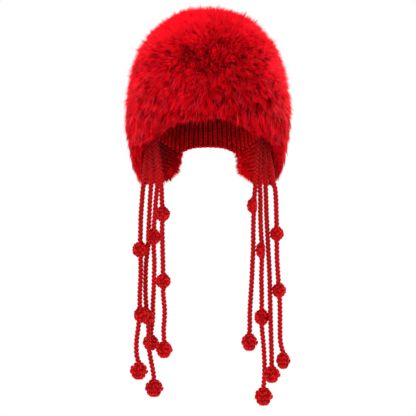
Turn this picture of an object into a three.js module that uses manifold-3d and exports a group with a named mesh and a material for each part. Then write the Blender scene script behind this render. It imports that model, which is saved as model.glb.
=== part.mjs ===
// Knit earflap hat under a deep fur pile, with four plaited ties and crocheted bobbles a side.
// Millimetres, +Z up, the face opening towards -Y. The origin is the inside top of the crown,
// where the crown of a head carries the hat.
import * as THREE from 'three';
import { mergeVertices } from 'three/addons/utils/BufferGeometryUtils.js';
import Module from 'manifold-3d';

const wasm = await Module();
wasm.setup();

// Driving dimensions
const knitWall = 5;
const gap = 0.5;
const furClearance = 1.5;
const ribCount = 72;
const ribRelief = 0.8;
const ribFadeStation = 3;
const liningFloor = -120;
const hollowFloor = -262;
const pileFloor = -125;
const lockCount = 30;
const lockRows = 11;
const lockProud = { tips: 2.5, roots: 1 };
const lockNotch = { tips: 6, roots: 3.6 };
const tipDroop = 0.3;
const notchRise = 0.35;
const droopRows = 3;
const unevenness = [
  { height: 1.2, perColumn: 2.4, perRow: 1.7 },
  { height: 0.9, perColumn: 5.1, perRow: -2.9 },
];
const fullPile = 30;
const underLift = 3;
const tieDiameter = 6.3;
const tieSides = 8;
const tieStep = 16;
const drillRadius = 4.6;
const drillLength = 30;
const drillSides = 6;
const bobbleSides = 10;
const bobbleRings = 6;
const petalCount = 5;
const petalRelief = 0.05;
const domeBackShare = 0.29;
const budWaist = 0.16;
const budWaistDrop = 0.5;
const budWaistBand = 0.2;
const flapRibs = 8;
const flapRibRelief = 0.7;
const flapFrontAngle = 79;
const flapRearAngle = { left: 152, right: 150.5 };
const flapHem = 10;
const flapLeastDepth = 4;
const flapColumns = 7;
const slopeStep = 0.05;
const halvings = 24;
const upwards = new THREE.Vector3(0, 0, 1);
const upwardsOfCylinder = new THREE.Vector3(0, 1, 0);

const fur = new THREE.MeshStandardMaterial({ color: 0xc4060f, roughness: 0.75, metalness: 0 });
const knit = new THREE.MeshStandardMaterial({ color: 0x86050a, roughness: 0.9, metalness: 0 });
const tieYarn = new THREE.MeshStandardMaterial({ color: 0xb90d16, roughness: 0.85, metalness: 0 });
const bobbleYarn = new THREE.MeshStandardMaterial({ color: 0xc01019, roughness: 0.85, metalness: 0 });

// The two crown surfaces, level by level from the top: the inside of the knit and the tips of
// the pile, each level an ellipse with half the width across the ears and half the depth.
const levels = table([
  'station', 'knitZ', 'knitHalfWidth', 'knitHalfDepth', 'furZ', 'furHalfWidth', 'furHalfDepth',
], [
  [0, 0, 0, 0, 40, 0, 0],
  [1, -3, 25, 31, 37.5, 34, 38],
  [2, -11, 45, 56, 27, 59, 66],
  [3, -28, 62, 77, 8, 82, 92],
  [4, -54, 75, 92, -22, 104, 117],
  [5, -86, 82, 100, -62, 118, 133],
  [6, -118, 84, 102, -100, 123, 139],
  [7, -150, 88, 101, -140, 123, 138],
  [8, -178, 91, 98, -172, 118, 131],
  [9, -204, 92, 92, -200, 112, 118],
  [10, -228, 91, 87, -228, 100, 102],
  [11, -262, 88, 82, -262, 92, 90],
]);
const lastStation = 11;
const bandStation = 7;
const ribStations = [0, 1.2, 2.6, 4.6, 7.6, lastStation];
const wallColumns = 36;

// Height of each lower edge round the head, by the angle from the middle of the forehead.
const edges = table(['angle', 'bandRim', 'furRim'], [
  [0, -126, -139],
  [15, -128, -142],
  [24, -130, -148],
  [31, -134, -154],
  [40, -140, -160],
  [49, -145, -167],
  [60, -150, -171],
  [75, -152, -177],
  [80, -152, -200],
  [84, -151, -218],
  [90, -151, -227],
  [108, -152, -229],
  [120, -156, -228],
  [131, -162, -225],
  [142, -170, -214],
  [149, -174, -204],
  [152, -175, -194],
  [155, -173, -174],
  [159, -170, -168],
  [165, -167, -163],
  [180, -165, -161],
]);

// The ties leave the lower edge of the band in front of each flap and hang from there.
const tieRoutes = {
  tie_left_1: [
    [-84, -31, -153.5], [-84.5, -31.5, -160], [-91, -36.5, -186.5], [-92.5, -38.5, -205],
    [-93.5, -40.5, -220], [-95.5, -42, -234.5], [-96.5, -43.5, -249.5], [-98, -46, -271],
    [-98.5, -49.5, -299.5], [-99, -51.5, -319.5], [-98, -53, -338], [-98, -54.5, -361.5],
    [-99, -56, -386], [-99, -57, -400.5], [-99.5, -58, -415], [-101, -58, -432.5],
    [-103.5, -58, -452.5], [-104, -58, -467], [-103, -58, -477.5], [-100.5, -58, -485],
  ],
  tie_left_2: [
    [-81.5, -39.5, -153.5], [-82, -39.5, -160], [-84, -40.5, -187], [-83, -41, -205.5],
    [-83, -41, -220], [-84, -40.5, -234.5], [-85, -40.5, -249.5], [-86, -40.5, -271],
    [-87, -40, -290.5], [-88, -40.5, -319], [-90.5, -41, -338.5], [-91.5, -41.5, -362],
    [-91.5, -42, -387], [-90.5, -42.5, -404.5], [-89, -43, -420.5], [-87, -43, -439.5],
    [-86.5, -43.5, -457], [-86, -43.5, -469], [-83, -43.5, -486.5], [-80, -44, -502.5],
    [-79, -44, -512],
  ],
  tie_left_3: [
    [-78, -47, -153.5], [-78.5, -47.5, -160], [-75.5, -48.5, -187], [-74, -49, -205.5],
    [-73.5, -49, -220], [-74.5, -49, -234.5], [-76, -49, -249.5], [-77.5, -48.5, -271],
    [-79, -48.5, -290], [-79.5, -48, -302], [-79.5, -47, -315], [-78.5, -44.5, -338.5],
    [-79, -41.5, -362], [-80, -38.5, -387], [-81, -36.5, -405], [-81, -34.5, -421.5],
    [-83, -32.5, -437.5], [-84.5, -30, -448],
  ],
  tie_left_4: [
    [-74, -54.5, -153.5], [-74.5, -55, -160], [-71.5, -56.5, -187.5], [-69.5, -57, -206],
    [-68.5, -57.5, -220.5], [-67.5, -57.5, -235], [-67, -57.5, -249.5], [-66, -58, -269],
    [-66.5, -58, -290], [-66, -58, -318.5], [-65.5, -58, -338], [-65, -58, -365.5],
    [-65, -57, -386], [-63, -55.5, -410.5], [-63.5, -54.5, -424], [-64.5, -54, -435.5],
    [-64, -52, -455.5],
  ],
  tie_right_1: [
    [74, -54.5, -153.5], [74, -55, -160], [70, -55.5, -187.5], [70, -54.5, -205.5],
    [69.5, -54, -220.5], [68.5, -53.5, -235], [67.5, -53, -245], [67, -52, -256.5],
    [66.5, -51.5, -271], [66, -50, -300.5], [66, -49, -320], [65, -49, -340],
    [64, -48.5, -364], [62.5, -48.5, -388.5], [61, -48.5, -415.5], [61, -48, -433.5],
    [60.5, -48, -444.5],
  ],
  tie_right_2: [
    [78, -47, -153.5], [78, -47.5, -160], [74.5, -48, -187], [74.5, -48, -205.5],
    [75, -48.5, -220], [76, -48.5, -234.5], [76.5, -49, -249.5], [76.5, -49, -271],
    [77.5, -49.5, -300.5], [79, -50, -322.5], [78.5, -49.5, -340], [78, -48, -364],
    [78.5, -47, -389], [78.5, -46.5, -402.5], [78.5, -45.5, -420.5], [79, -44, -436.5],
    [81, -42.5, -457.5], [82.5, -40.5, -478], [83, -38.5, -499], [82.5, -38, -513.5],
    [81.5, -38, -524.5],
  ],
  tie_right_3: [
    [81.5, -39.5, -153.5], [82, -39.5, -160], [82, -41.5, -187], [83.5, -42, -205.5],
    [84, -43, -220], [84.5, -43.5, -234.5], [85, -44, -249.5], [85.5, -45, -271],
    [87, -46, -300.5], [88, -46.5, -320.5], [89, -47.5, -340], [90, -48, -364],
    [90.5, -49, -388.5], [91, -50.5, -415.5], [91.5, -52, -436], [92, -53.5, -456],
    [92.5, -55, -476.5], [92.5, -56, -491],
  ],
  tie_right_4: [
    [84, -31, -153.5], [84.5, -31.5, -160], [90, -36, -186.5], [93, -38, -201],
    [95, -40, -219.5], [98.5, -41, -234.5], [99.5, -42.5, -249.5], [100, -44.5, -271],
    [100.5, -47, -298.5], [100.5, -47.5, -320.5], [101, -48, -340], [102.5, -48.5, -364],
    [103.5, -49, -381], [104.5, -49.5, -395], [105, -50, -415.5], [105, -50, -436],
    [105.5, -50, -455], [107.5, -50, -465], [109.5, -50, -471.5],
  ],
};

// The bobbles: a dome is a crocheted cap stitched on its tie at a height, with the tie through its
// flat side, and a bud closes the free end of a tie. Facing 0 turns a dome to the front, 90 to -X.
const bobbles = table(['name', 'tie', 'form', 'z', 'width', 'height', 'depth', 'facing'], [
  ['bobble_left_1a', 'tie_left_1', 'dome', -319.5, 21.5, 22, 14, 0],
  ['bobble_left_1b', 'tie_left_1', 'dome', -415, 20.5, 21.5, 13.5, 0],
  ['bobble_left_1c', 'tie_left_1', 'bud', -497.5, 24.5, 24, 21, 0],
  ['bobble_left_2a', 'tie_left_2', 'dome', -420.5, 20, 20.5, 12, 0],
  ['bobble_left_2b', 'tie_left_2', 'bud', -524.5, 25, 24.5, 21, 0],
  ['bobble_left_3a', 'tie_left_3', 'dome', -302, 20.5, 22, 14, 0],
  ['bobble_left_3b', 'tie_left_3', 'bud', -459.5, 22.5, 22, 17, 0],
  ['bobble_left_4a', 'tie_left_4', 'dome', -269, 20.5, 21, 14, 0],
  ['bobble_left_4b', 'tie_left_4', 'dome', -365, 20.5, 20.5, 14, 0],
  ['bobble_left_4c', 'tie_left_4', 'bud', -467.5, 22.5, 23, 20, 0],
  ['bobble_right_1a', 'tie_right_1', 'dome', -257, 20, 22.5, 13.7, 90],
  ['bobble_right_1b', 'tie_right_1', 'bud', -457, 22.5, 24, 20, 0],
  ['bobble_right_2a', 'tie_right_2', 'dome', -322.5, 20, 23, 12.6, 90],
  ['bobble_right_2b', 'tie_right_2', 'dome', -420.5, 20.5, 22.5, 14, 0],
  ['bobble_right_2c', 'tie_right_2', 'bud', -537.5, 25, 25.5, 21, 0],
  ['bobble_right_3a', 'tie_right_3', 'bud', -503, 23, 23, 20, 0],
  ['bobble_right_4a', 'tie_right_4', 'dome', -298.5, 19, 20, 14, 0],
  ['bobble_right_4b', 'tie_right_4', 'dome', -381, 19, 20.5, 14, 0],
  ['bobble_right_4c', 'tie_right_4', 'bud', -483.5, 19, 23, 19, 0],
]);

const hat = new THREE.Group();
addMesh('knit_lining', makeLining(), knit);
addMesh('ear_flap_left', makeFlap(-1, flapRearAngle.left), knit);
addMesh('ear_flap_right', makeFlap(1, flapRearAngle.right), knit);
addMesh('fur_cover', makeFurCover(), fur);

const tieCurves = {};
for (const [name, points] of Object.entries(tieRoutes)) {
  const vectors = points.map((point) => new THREE.Vector3(...point));
  tieCurves[name] = new THREE.CatmullRomCurve3(vectors, false, 'centripetal');
  addMesh(name, tube(tieCurves[name], tieDiameter / 2), tieYarn);
}
for (const bobble of bobbles) {
  const make = bobble.form === 'dome' ? makeDome : makeBud;
  addMesh(bobble.name, make(bobble, tieCurves[bobble.tie]), bobbleYarn);
}

export default hat;

// Pieces

// Crown and band of the lining: a smooth outside, and ribs that run down the inside to the rim.
function makeLining() {
  const outside = (angle, row) => {
    const rimStation = stationOfHeight('knitZ', edgeHeight('bandRim', angle));
    const station = row < bandStation ? row : rimStation;
    return crownPoint('knit', angle, station, knitWall);
  };
  const inside = (angle, row, column) => {
    const station = ribStations[row];
    const relief = ribRelief * (column % 2 === 0 ? 1 : -1) * Math.min(1, station / ribFadeStation);
    return crownPoint('knit', angle, station, relief);
  };
  const shell = closedDome(wallColumns, bandStation, outside, liningFloor);
  const hollow = closedDome(2 * ribCount, ribStations.length - 1, inside, hollowFloor);
  return subtract(shell, hollow);
}

// One ear flap: a rounded tongue below the band that ends short of the pile's fringe, with ribs
// that run round the head.
function makeFlap(side, rearAngle) {
  const middle = (flapFrontAngle + rearAngle) / 2;
  const half = (rearAngle - flapFrontAngle) / 2;
  const rows = 2 * flapRibs;
  return warpedBox(flapColumns, rows, (across, down, through) => {
    const angle = middle - half * Math.cos(Math.PI * across);
    const top = edgeHeight('bandRim', angle) - 2 * gap;
    const bottom = Math.min(top - flapLeastDepth, edgeHeight('furRim', angle) + flapHem);
    const height = THREE.MathUtils.lerp(top, bottom, down);
    const ridge = Math.round(down * rows) % 2 === 0 ? -1 : 1;
    const offset = through > 0.5 ? knitWall : flapRibRelief * ridge;
    return crownPoint('knit', side * angle, stationOfHeight('knitZ', height), offset);
  });
}

// The pile: rows of pointed locks, each row half a lock round from the one above, over a hollow
// that fits the knit.
function makeFurCover() {
  const rows = 2 * lockRows;
  const outside = (angle, row, column) => {
    const rim = edgeHeight('furRim', angle);
    if (row > rows) {
      return crownPoint('knit', angle, stationOfHeight('knitZ', rim + underLift), knitWall);
    }
    const onLock = (column + Math.floor((row + 1) / 2)) % 2 === 0;
    const atTips = row % 2 === 0;
    const droop = atTips && row < rows ? (onLock ? tipDroop : -notchRise) : 0;
    const lowered = row + droop * Math.min(1, row / droopRows);
    const station = stationOfHeight('furZ', rim) * lowered / rows;
    const place = atTips ? 'tips' : 'roots';
    const proud = onLock ? lockProud[place] : -lockNotch[place];
    const uneven = unevenness.reduce(
      (sum, wave) => sum + wave.height * Math.sin(column * wave.perColumn + row * wave.perRow),
      0,
    );
    const share = Math.min(1, pileDepth(station) / fullPile, row / 2);
    return crownPoint('fur', angle, station, (proud + uneven) * share);
  };
  const inside = (angle, row) => crownPoint('knit', angle, row, knitWall + furClearance);
  const pile = closedDome(2 * lockCount, rows + 1, outside, pileFloor);
  const hollow = closedDome(wallColumns, lastStation, inside, hollowFloor);
  return subtract(pile, hollow);
}

// A crocheted cap on a tie, puffed in petals round its middle and nearly flat behind the tie.
function makeDome(bobble, curve) {
  const centre = pointAtHeight(curve, bobble.z);
  const turn = -THREE.MathUtils.degToRad(bobble.facing);
  const cap = new THREE.SphereGeometry(1, bobbleSides, bobbleRings);
  mapPositions(cap, (point) => {
    const petals = 1 + petalRelief * Math.cos(petalCount * Math.atan2(point.z, point.x));
    const outwards = point.y * bobble.depth * (point.y > 0 ? 1 - domeBackShare : domeBackShare);
    const across = point.x * petals * bobble.width / 2;
    const up = point.z * petals * bobble.height / 2;
    return new THREE.Vector3(across, -outwards, up).applyAxisAngle(upwards, turn).add(centre);
  });
  return subtract(solid(cap), drillAlong(curve, centre));
}

// The faceted hole through a dome, in line with its tie.
function drillAlong(curve, centre) {
  const above = pointAtHeight(curve, centre.z + drillLength / 2);
  const below = pointAtHeight(curve, centre.z - drillLength / 2);
  const drill = new THREE.CylinderGeometry(drillRadius, drillRadius, drillLength, drillSides);
  const lean = new THREE.Quaternion().setFromUnitVectors(upwardsOfCylinder, above.sub(below).normalize());
  drill.applyQuaternion(lean);
  drill.translate(centre.x, centre.y, centre.z);
  return solid(drill);
}

// A crocheted ball under the end of a tie, with a waist above its narrower scalloped lower part.
function makeBud(bobble, curve) {
  const end = curve.getPoint(1);
  const centre = new THREE.Vector3(end.x, end.y, end.z - gap - bobble.height / 2);
  const ball = new THREE.SphereGeometry(1, bobbleSides, bobbleRings);
  mapPositions(ball, (point) => {
    const petals = 1 + petalRelief * Math.cos(petalCount * Math.atan2(point.z, point.x));
    const waist = budWaist * Math.exp(-(((point.y + budWaistDrop) / budWaistBand) ** 2));
    const girth = petals * (1 - waist);
    const across = point.x * girth * bobble.width / 2;
    const deep = point.z * girth * bobble.depth / 2;
    return new THREE.Vector3(across, deep, point.y * bobble.height / 2).add(centre);
  });
  return solid(ball);
}

function pointAtHeight(curve, height) {
  let low = 0;
  let high = 1;
  for (let halving = 0; halving < halvings; halving += 1) {
    const middle = (low + high) / 2;
    if (curve.getPointAt(middle).z > height) {
      low = middle;
    } else {
      high = middle;
    }
  }
  return curve.getPointAt(low);
}

// Surfaces

// A point of the knit's inside or of the pile's tips, moved outwards by an offset.
function crownPoint(surface, angle, station, offset) {
  const here = crownSection(surface, station);
  const above = crownSection(surface, Math.max(0, station - slopeStep));
  const below = crownSection(surface, Math.min(lastStation, station + slopeStep));
  const slope = new THREE.Vector2(above.z - below.z, below.halfWidth - above.halfWidth).normalize();
  const turn = THREE.MathUtils.degToRad(angle);
  return new THREE.Vector3(
    (here.halfWidth + offset * slope.x) * Math.sin(turn),
    -(here.halfDepth + offset * slope.x) * Math.cos(turn),
    here.z + offset * slope.y,
  );
}

function crownSection(surface, station) {
  return {
    z: sample(levels, 'station', `${surface}Z`, station),
    halfWidth: sample(levels, 'station', `${surface}HalfWidth`, station),
    halfDepth: sample(levels, 'station', `${surface}HalfDepth`, station),
  };
}

function pileDepth(station) {
  const knitSection = crownSection('knit', station);
  const furSection = crownSection('fur', station);
  const across = furSection.halfWidth - knitSection.halfWidth;
  return Math.hypot(across, furSection.z - knitSection.z);
}

function edgeHeight(edge, angle) {
  const folded = Math.abs(THREE.MathUtils.euclideanModulo(angle + 180, 360) - 180);
  return sample(edges, 'angle', edge, folded);
}

function stationOfHeight(column, height) {
  let low = 0;
  let high = lastStation;
  for (let halving = 0; halving < halvings; halving += 1) {
    const middle = (low + high) / 2;
    if (sample(levels, 'station', column, middle) > height) {
      low = middle;
    } else {
      high = middle;
    }
  }
  return (low + high) / 2;
}

// Mesh helpers

function table(columns, rows) {
  return rows.map((row) => Object.fromEntries(columns.map((column, index) => [column, row[index]])));
}

// Smooth reading of one column of a table by another, by a spline through its rows.
function sample(rows, keyColumn, column, key) {
  rows.splines ??= {};
  if (!rows.splines[column]) {
    const keys = Float32Array.from(rows, (row) => row[keyColumn]);
    const values = Float32Array.from(rows, (row) => row[column]);
    rows.splines[column] = new THREE.CubicInterpolant(keys, values, 1);
  }
  return rows.splines[column].evaluate(key)[0];
}

// A dome closed below by a face that runs in to the axis; place gives each grid point.
function closedDome(columns, rows, place, floorHeight) {
  const profile = [];
  for (let row = 0; row <= rows + 1; row += 1) {
    profile.push(new THREE.Vector2(row > rows ? 0 : row / rows, -row));
  }
  const geometry = new THREE.LatheGeometry(profile, columns);
  const positions = geometry.getAttribute('position');
  for (let index = 0; index < positions.count; index += 1) {
    const column = Math.floor(index / profile.length) % columns;
    const row = index % profile.length;
    const point = row > rows
      ? new THREE.Vector3(0, 0, floorHeight)
      : place(360 * column / columns, row, column);
    if (row === 0) {
      point.set(0, 0, place(0, 0, 0).z);
    }
    positions.setXYZ(index, point.x, point.y, point.z);
  }
  return solid(geometry);
}

function warpedBox(columns, rows, place) {
  const geometry = new THREE.BoxGeometry(1, 1, 1, columns, rows, 1);
  mapPositions(geometry, (point) => place(point.x + 0.5, 0.5 - point.y, point.z + 0.5));
  return solid(geometry);
}

function tube(curve, radius) {
  const outline = new THREE.Shape();
  for (let side = 0; side < tieSides; side += 1) {
    const turn = 2 * Math.PI * side / tieSides;
    const method = side === 0 ? 'moveTo' : 'lineTo';
    outline[method](radius * Math.cos(turn), radius * Math.sin(turn));
  }
  const steps = Math.round(curve.getLength() / tieStep);
  return solid(new THREE.ExtrudeGeometry(outline, { steps, extrudePath: curve }));
}

function mapPositions(geometry, place) {
  const positions = geometry.getAttribute('position');
  const point = new THREE.Vector3();
  for (let index = 0; index < positions.count; index += 1) {
    point.fromBufferAttribute(positions, index);
    const moved = place(point);
    positions.setXYZ(index, moved.x, moved.y, moved.z);
  }
}

// Shared vertices, no empty triangles, and faces that point out.
function solid(geometry) {
  geometry.deleteAttribute('normal');
  geometry.deleteAttribute('uv');
  const merged = mergeVertices(geometry, 1e-4);
  const corners = [];
  const source = merged.index.array;
  for (let index = 0; index < source.length; index += 3) {
    const [a, b, c] = source.slice(index, index + 3);
    if (a !== b && b !== c && c !== a) {
      corners.push(a, b, c);
    }
  }
  merged.setIndex(corners);
  if (signedVolume(merged) < 0) {
    merged.setIndex(corners.reverse());
  }
  return merged;
}

function signedVolume(geometry) {
  const positions = geometry.getAttribute('position');
  const corners = geometry.index.array;
  const [a, b, c] = [new THREE.Vector3(), new THREE.Vector3(), new THREE.Vector3()];
  let sum = 0;
  for (let index = 0; index < corners.length; index += 3) {
    a.fromBufferAttribute(positions, corners[index]);
    b.fromBufferAttribute(positions, corners[index + 1]);
    c.fromBufferAttribute(positions, corners[index + 2]);
    sum += a.dot(b.cross(c)) / 6;
  }
  return sum;
}

function subtract(geometry, cutter) {
  const result = toManifold(geometry).subtract(toManifold(cutter)).getMesh();
  const cut = new THREE.BufferGeometry();
  cut.setAttribute('position', new THREE.BufferAttribute(result.vertProperties, result.numProp));
  cut.setIndex(Array.from(result.triVerts));
  return cut;
}

function toManifold(geometry) {
  return new wasm.Manifold(new wasm.Mesh({
    numProp: 3,
    vertProperties: new Float32Array(geometry.getAttribute('position').array),
    triVerts: new Uint32Array(geometry.index.array),
  }));
}

function addMesh(name, geometry, material) {
  geometry.computeVertexNormals();
  const mesh = new THREE.Mesh(geometry, material.clone());
  mesh.name = name;
  hat.add(mesh);
}
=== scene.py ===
import math

import bmesh
import bpy
import numpy as np
from bpy.props import FloatProperty, FloatVectorProperty, IntProperty, PointerProperty
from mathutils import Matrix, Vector, kdtree


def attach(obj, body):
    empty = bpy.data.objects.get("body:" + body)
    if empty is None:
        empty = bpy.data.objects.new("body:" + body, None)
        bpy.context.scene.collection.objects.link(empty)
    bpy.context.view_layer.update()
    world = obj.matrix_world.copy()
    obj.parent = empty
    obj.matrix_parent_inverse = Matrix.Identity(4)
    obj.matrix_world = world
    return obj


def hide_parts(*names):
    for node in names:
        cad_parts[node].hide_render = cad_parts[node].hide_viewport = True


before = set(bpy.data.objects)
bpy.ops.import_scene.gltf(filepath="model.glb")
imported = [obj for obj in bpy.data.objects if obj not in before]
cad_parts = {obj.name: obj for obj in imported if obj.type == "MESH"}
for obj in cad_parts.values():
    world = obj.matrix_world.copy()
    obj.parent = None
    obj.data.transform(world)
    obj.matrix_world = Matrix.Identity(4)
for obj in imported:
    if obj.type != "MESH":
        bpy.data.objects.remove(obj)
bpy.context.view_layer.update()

bl_info = {
    "name": "Fur Earflap Hat",
    "version": (1, 0, 0),
    "blender": (4, 5, 0),
    "location": "3D View > Sidebar > Hat",
    "description": "Builds the pile, rib knit, plaited ties and bobbles of an earflap hat",
    "category": "Object",
}

# Every length is in metres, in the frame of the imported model: +Z up, the face opening towards -Y.
# The crown level by level from the top. Each level is an ellipse, with half the width across the
# ears and half the depth, for the inside of the knit and for the tips of the pile.
LEVEL_COLUMNS = (
    "station", "knit_z", "knit_half_width", "knit_half_depth",
    "fur_z", "fur_half_width", "fur_half_depth",
)
LEVELS = (
    (0, 0, 0, 0, 0.037, 0, 0),
    (1, -0.003, 0.025, 0.031, 0.0345, 0.034, 0.038),
    (2, -0.011, 0.045, 0.056, 0.0245, 0.059, 0.066),
    (3, -0.028, 0.062, 0.077, 0.0065, 0.082, 0.092),
    (4, -0.054, 0.075, 0.092, -0.022, 0.104, 0.117),
    (5, -0.086, 0.082, 0.1, -0.062, 0.118, 0.133),
    (6, -0.118, 0.084, 0.102, -0.1, 0.123, 0.139),
    (7, -0.15, 0.088, 0.101, -0.14, 0.123, 0.138),
    (8, -0.178, 0.091, 0.098, -0.172, 0.118, 0.131),
    (9, -0.204, 0.092, 0.092, -0.2, 0.112, 0.118),
    (10, -0.228, 0.091, 0.087, -0.228, 0.1, 0.102),
    (11, -0.262, 0.088, 0.082, -0.262, 0.092, 0.09),
)
LAST_STATION = 11.0

# Height of each lower edge round the head, by the angle from the middle of the forehead.
EDGE_COLUMNS = ("angle", "band_rim", "fur_rim")
EDGES = (
    (0, -0.126, -0.139),
    (15, -0.128, -0.142),
    (24, -0.13, -0.148),
    (31, -0.134, -0.154),
    (40, -0.14, -0.16),
    (49, -0.145, -0.167),
    (60, -0.15, -0.171),
    (75, -0.152, -0.177),
    (80, -0.152, -0.2),
    (84, -0.151, -0.218),
    (90, -0.151, -0.227),
    (108, -0.152, -0.229),
    (120, -0.156, -0.228),
    (131, -0.162, -0.2275),
    (142, -0.17, -0.2205),
    (149, -0.174, -0.213),
    (152, -0.175, -0.205),
    (155, -0.173, -0.179),
    (159, -0.17, -0.168),
    (165, -0.167, -0.163),
    (180, -0.165, -0.161),
)

# How the pile lies, level by level: the lean of a strand in degrees from upright towards the rim,
# its length, and how much its tip draws together with the others of its tuft.
LAY_COLUMNS = ("station", "lean", "length", "draw")
LAYS = (
    (0, 2, 0.019, 0.08),
    (2, 5, 0.019, 0.08),
    (3, 8, 0.020, 0.10),
    (4, 14, 0.021, 0.14),
    (5, 24, 0.022, 0.18),
    (6, 44, 0.023, 0.16),
    (7, 60, 0.025, 0.12),
    (8, 66, 0.025, 0.10),
    (9, 70, 0.024, 0.10),
    (11, 73, 0.024, 0.10),
)

# The centreline of each tie, from under the rim of the band to its free end.
TIE_ROUTES = {
    "tie_left_1": (
        (-0.084, -0.031, -0.1535), (-0.0845, -0.0315, -0.16), (-0.091, -0.0365, -0.1865),
        (-0.0925, -0.0385, -0.205), (-0.0935, -0.0405, -0.22), (-0.0955, -0.042, -0.2345),
        (-0.0965, -0.0435, -0.2495), (-0.098, -0.046, -0.271), (-0.0985, -0.0495, -0.2995),
        (-0.099, -0.0515, -0.3195), (-0.098, -0.053, -0.338), (-0.098, -0.0545, -0.3615),
        (-0.099, -0.056, -0.386), (-0.099, -0.057, -0.4005), (-0.0995, -0.058, -0.415),
        (-0.101, -0.058, -0.4325), (-0.1035, -0.058, -0.4525), (-0.104, -0.058, -0.467),
        (-0.103, -0.058, -0.4775), (-0.1005, -0.058, -0.485),
    ),
    "tie_left_2": (
        (-0.0815, -0.0395, -0.1535), (-0.082, -0.0395, -0.16), (-0.084, -0.0405, -0.187),
        (-0.083, -0.041, -0.2055), (-0.083, -0.041, -0.22), (-0.084, -0.0405, -0.2345),
        (-0.085, -0.0405, -0.2495), (-0.086, -0.0405, -0.271), (-0.087, -0.04, -0.2905),
        (-0.088, -0.0405, -0.319), (-0.0905, -0.041, -0.3385), (-0.0915, -0.0415, -0.362),
        (-0.0915, -0.042, -0.387), (-0.0905, -0.0425, -0.4045), (-0.089, -0.043, -0.4205),
        (-0.087, -0.043, -0.4395), (-0.0865, -0.0435, -0.457), (-0.086, -0.0435, -0.469),
        (-0.083, -0.0435, -0.4865), (-0.08, -0.044, -0.5025), (-0.079, -0.044, -0.512),
    ),
    "tie_left_3": (
        (-0.078, -0.047, -0.1535), (-0.0785, -0.0475, -0.16), (-0.0755, -0.0485, -0.187),
        (-0.074, -0.049, -0.2055), (-0.0735, -0.049, -0.22), (-0.0745, -0.049, -0.2345),
        (-0.076, -0.049, -0.2495), (-0.0775, -0.0485, -0.271), (-0.079, -0.0485, -0.29),
        (-0.0795, -0.048, -0.302), (-0.0795, -0.047, -0.315), (-0.0785, -0.0445, -0.3385),
        (-0.079, -0.0415, -0.362), (-0.08, -0.0385, -0.387), (-0.081, -0.0365, -0.405),
        (-0.081, -0.0345, -0.4215), (-0.083, -0.0325, -0.4375), (-0.0845, -0.03, -0.448),
    ),
    "tie_left_4": (
        (-0.074, -0.0545, -0.1535), (-0.0745, -0.055, -0.16), (-0.0715, -0.0565, -0.1875),
        (-0.0695, -0.057, -0.206), (-0.0685, -0.0575, -0.2205), (-0.0675, -0.0575, -0.235),
        (-0.067, -0.0575, -0.2495), (-0.066, -0.058, -0.269), (-0.0665, -0.058, -0.29),
        (-0.066, -0.058, -0.3185), (-0.0655, -0.058, -0.338), (-0.065, -0.058, -0.3655),
        (-0.065, -0.057, -0.386), (-0.063, -0.0555, -0.4105), (-0.0635, -0.0545, -0.424),
        (-0.0645, -0.054, -0.4355), (-0.064, -0.052, -0.4555),
    ),
    "tie_right_1": (
        (0.074, -0.0545, -0.1535), (0.074, -0.055, -0.16), (0.07, -0.0555, -0.1875),
        (0.07, -0.0545, -0.2055), (0.0695, -0.054, -0.2205), (0.0685, -0.0535, -0.235),
        (0.0675, -0.053, -0.245), (0.067, -0.052, -0.2565), (0.0665, -0.0515, -0.271),
        (0.066, -0.05, -0.3005), (0.066, -0.049, -0.32), (0.065, -0.049, -0.34),
        (0.064, -0.0485, -0.364), (0.0625, -0.0485, -0.3885), (0.061, -0.0485, -0.4155),
        (0.061, -0.048, -0.4335), (0.0605, -0.048, -0.4445),
    ),
    "tie_right_2": (
        (0.078, -0.047, -0.1535), (0.078, -0.0475, -0.16), (0.0745, -0.048, -0.187),
        (0.0745, -0.048, -0.2055), (0.075, -0.0485, -0.22), (0.076, -0.0485, -0.2345),
        (0.0765, -0.049, -0.2495), (0.0765, -0.049, -0.271), (0.0775, -0.0495, -0.3005),
        (0.079, -0.05, -0.3225), (0.0785, -0.0495, -0.34), (0.078, -0.048, -0.364),
        (0.0785, -0.047, -0.389), (0.0785, -0.0465, -0.4025), (0.0785, -0.0455, -0.4205),
        (0.079, -0.044, -0.4365), (0.081, -0.0425, -0.4575), (0.0825, -0.0405, -0.478),
        (0.083, -0.0385, -0.499), (0.0825, -0.038, -0.5135), (0.0815, -0.038, -0.5245),
    ),
    "tie_right_3": (
        (0.0815, -0.0395, -0.1535), (0.082, -0.0395, -0.16), (0.082, -0.0415, -0.187),
        (0.0835, -0.042, -0.2055), (0.084, -0.043, -0.22), (0.0845, -0.0435, -0.2345),
        (0.085, -0.044, -0.2495), (0.0855, -0.045, -0.271), (0.087, -0.046, -0.3005),
        (0.088, -0.0465, -0.3205), (0.089, -0.0475, -0.34), (0.09, -0.048, -0.364),
        (0.0905, -0.049, -0.3885), (0.091, -0.0505, -0.4155), (0.0915, -0.052, -0.436),
        (0.092, -0.0535, -0.456), (0.0925, -0.055, -0.4765), (0.0925, -0.056, -0.491),
    ),
    "tie_right_4": (
        (0.084, -0.031, -0.1535), (0.0845, -0.0315, -0.16), (0.09, -0.036, -0.1865),
        (0.093, -0.038, -0.201), (0.095, -0.04, -0.2195), (0.0985, -0.041, -0.2345),
        (0.0995, -0.0425, -0.2495), (0.1, -0.0445, -0.271), (0.1005, -0.047, -0.2985),
        (0.1005, -0.0475, -0.3205), (0.101, -0.048, -0.34), (0.1025, -0.0485, -0.364),
        (0.1035, -0.049, -0.381), (0.1045, -0.0495, -0.395), (0.105, -0.05, -0.4155),
        (0.105, -0.05, -0.436), (0.1055, -0.05, -0.455), (0.1075, -0.05, -0.465),
        (0.1095, -0.05, -0.4715),
    ),
}

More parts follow.
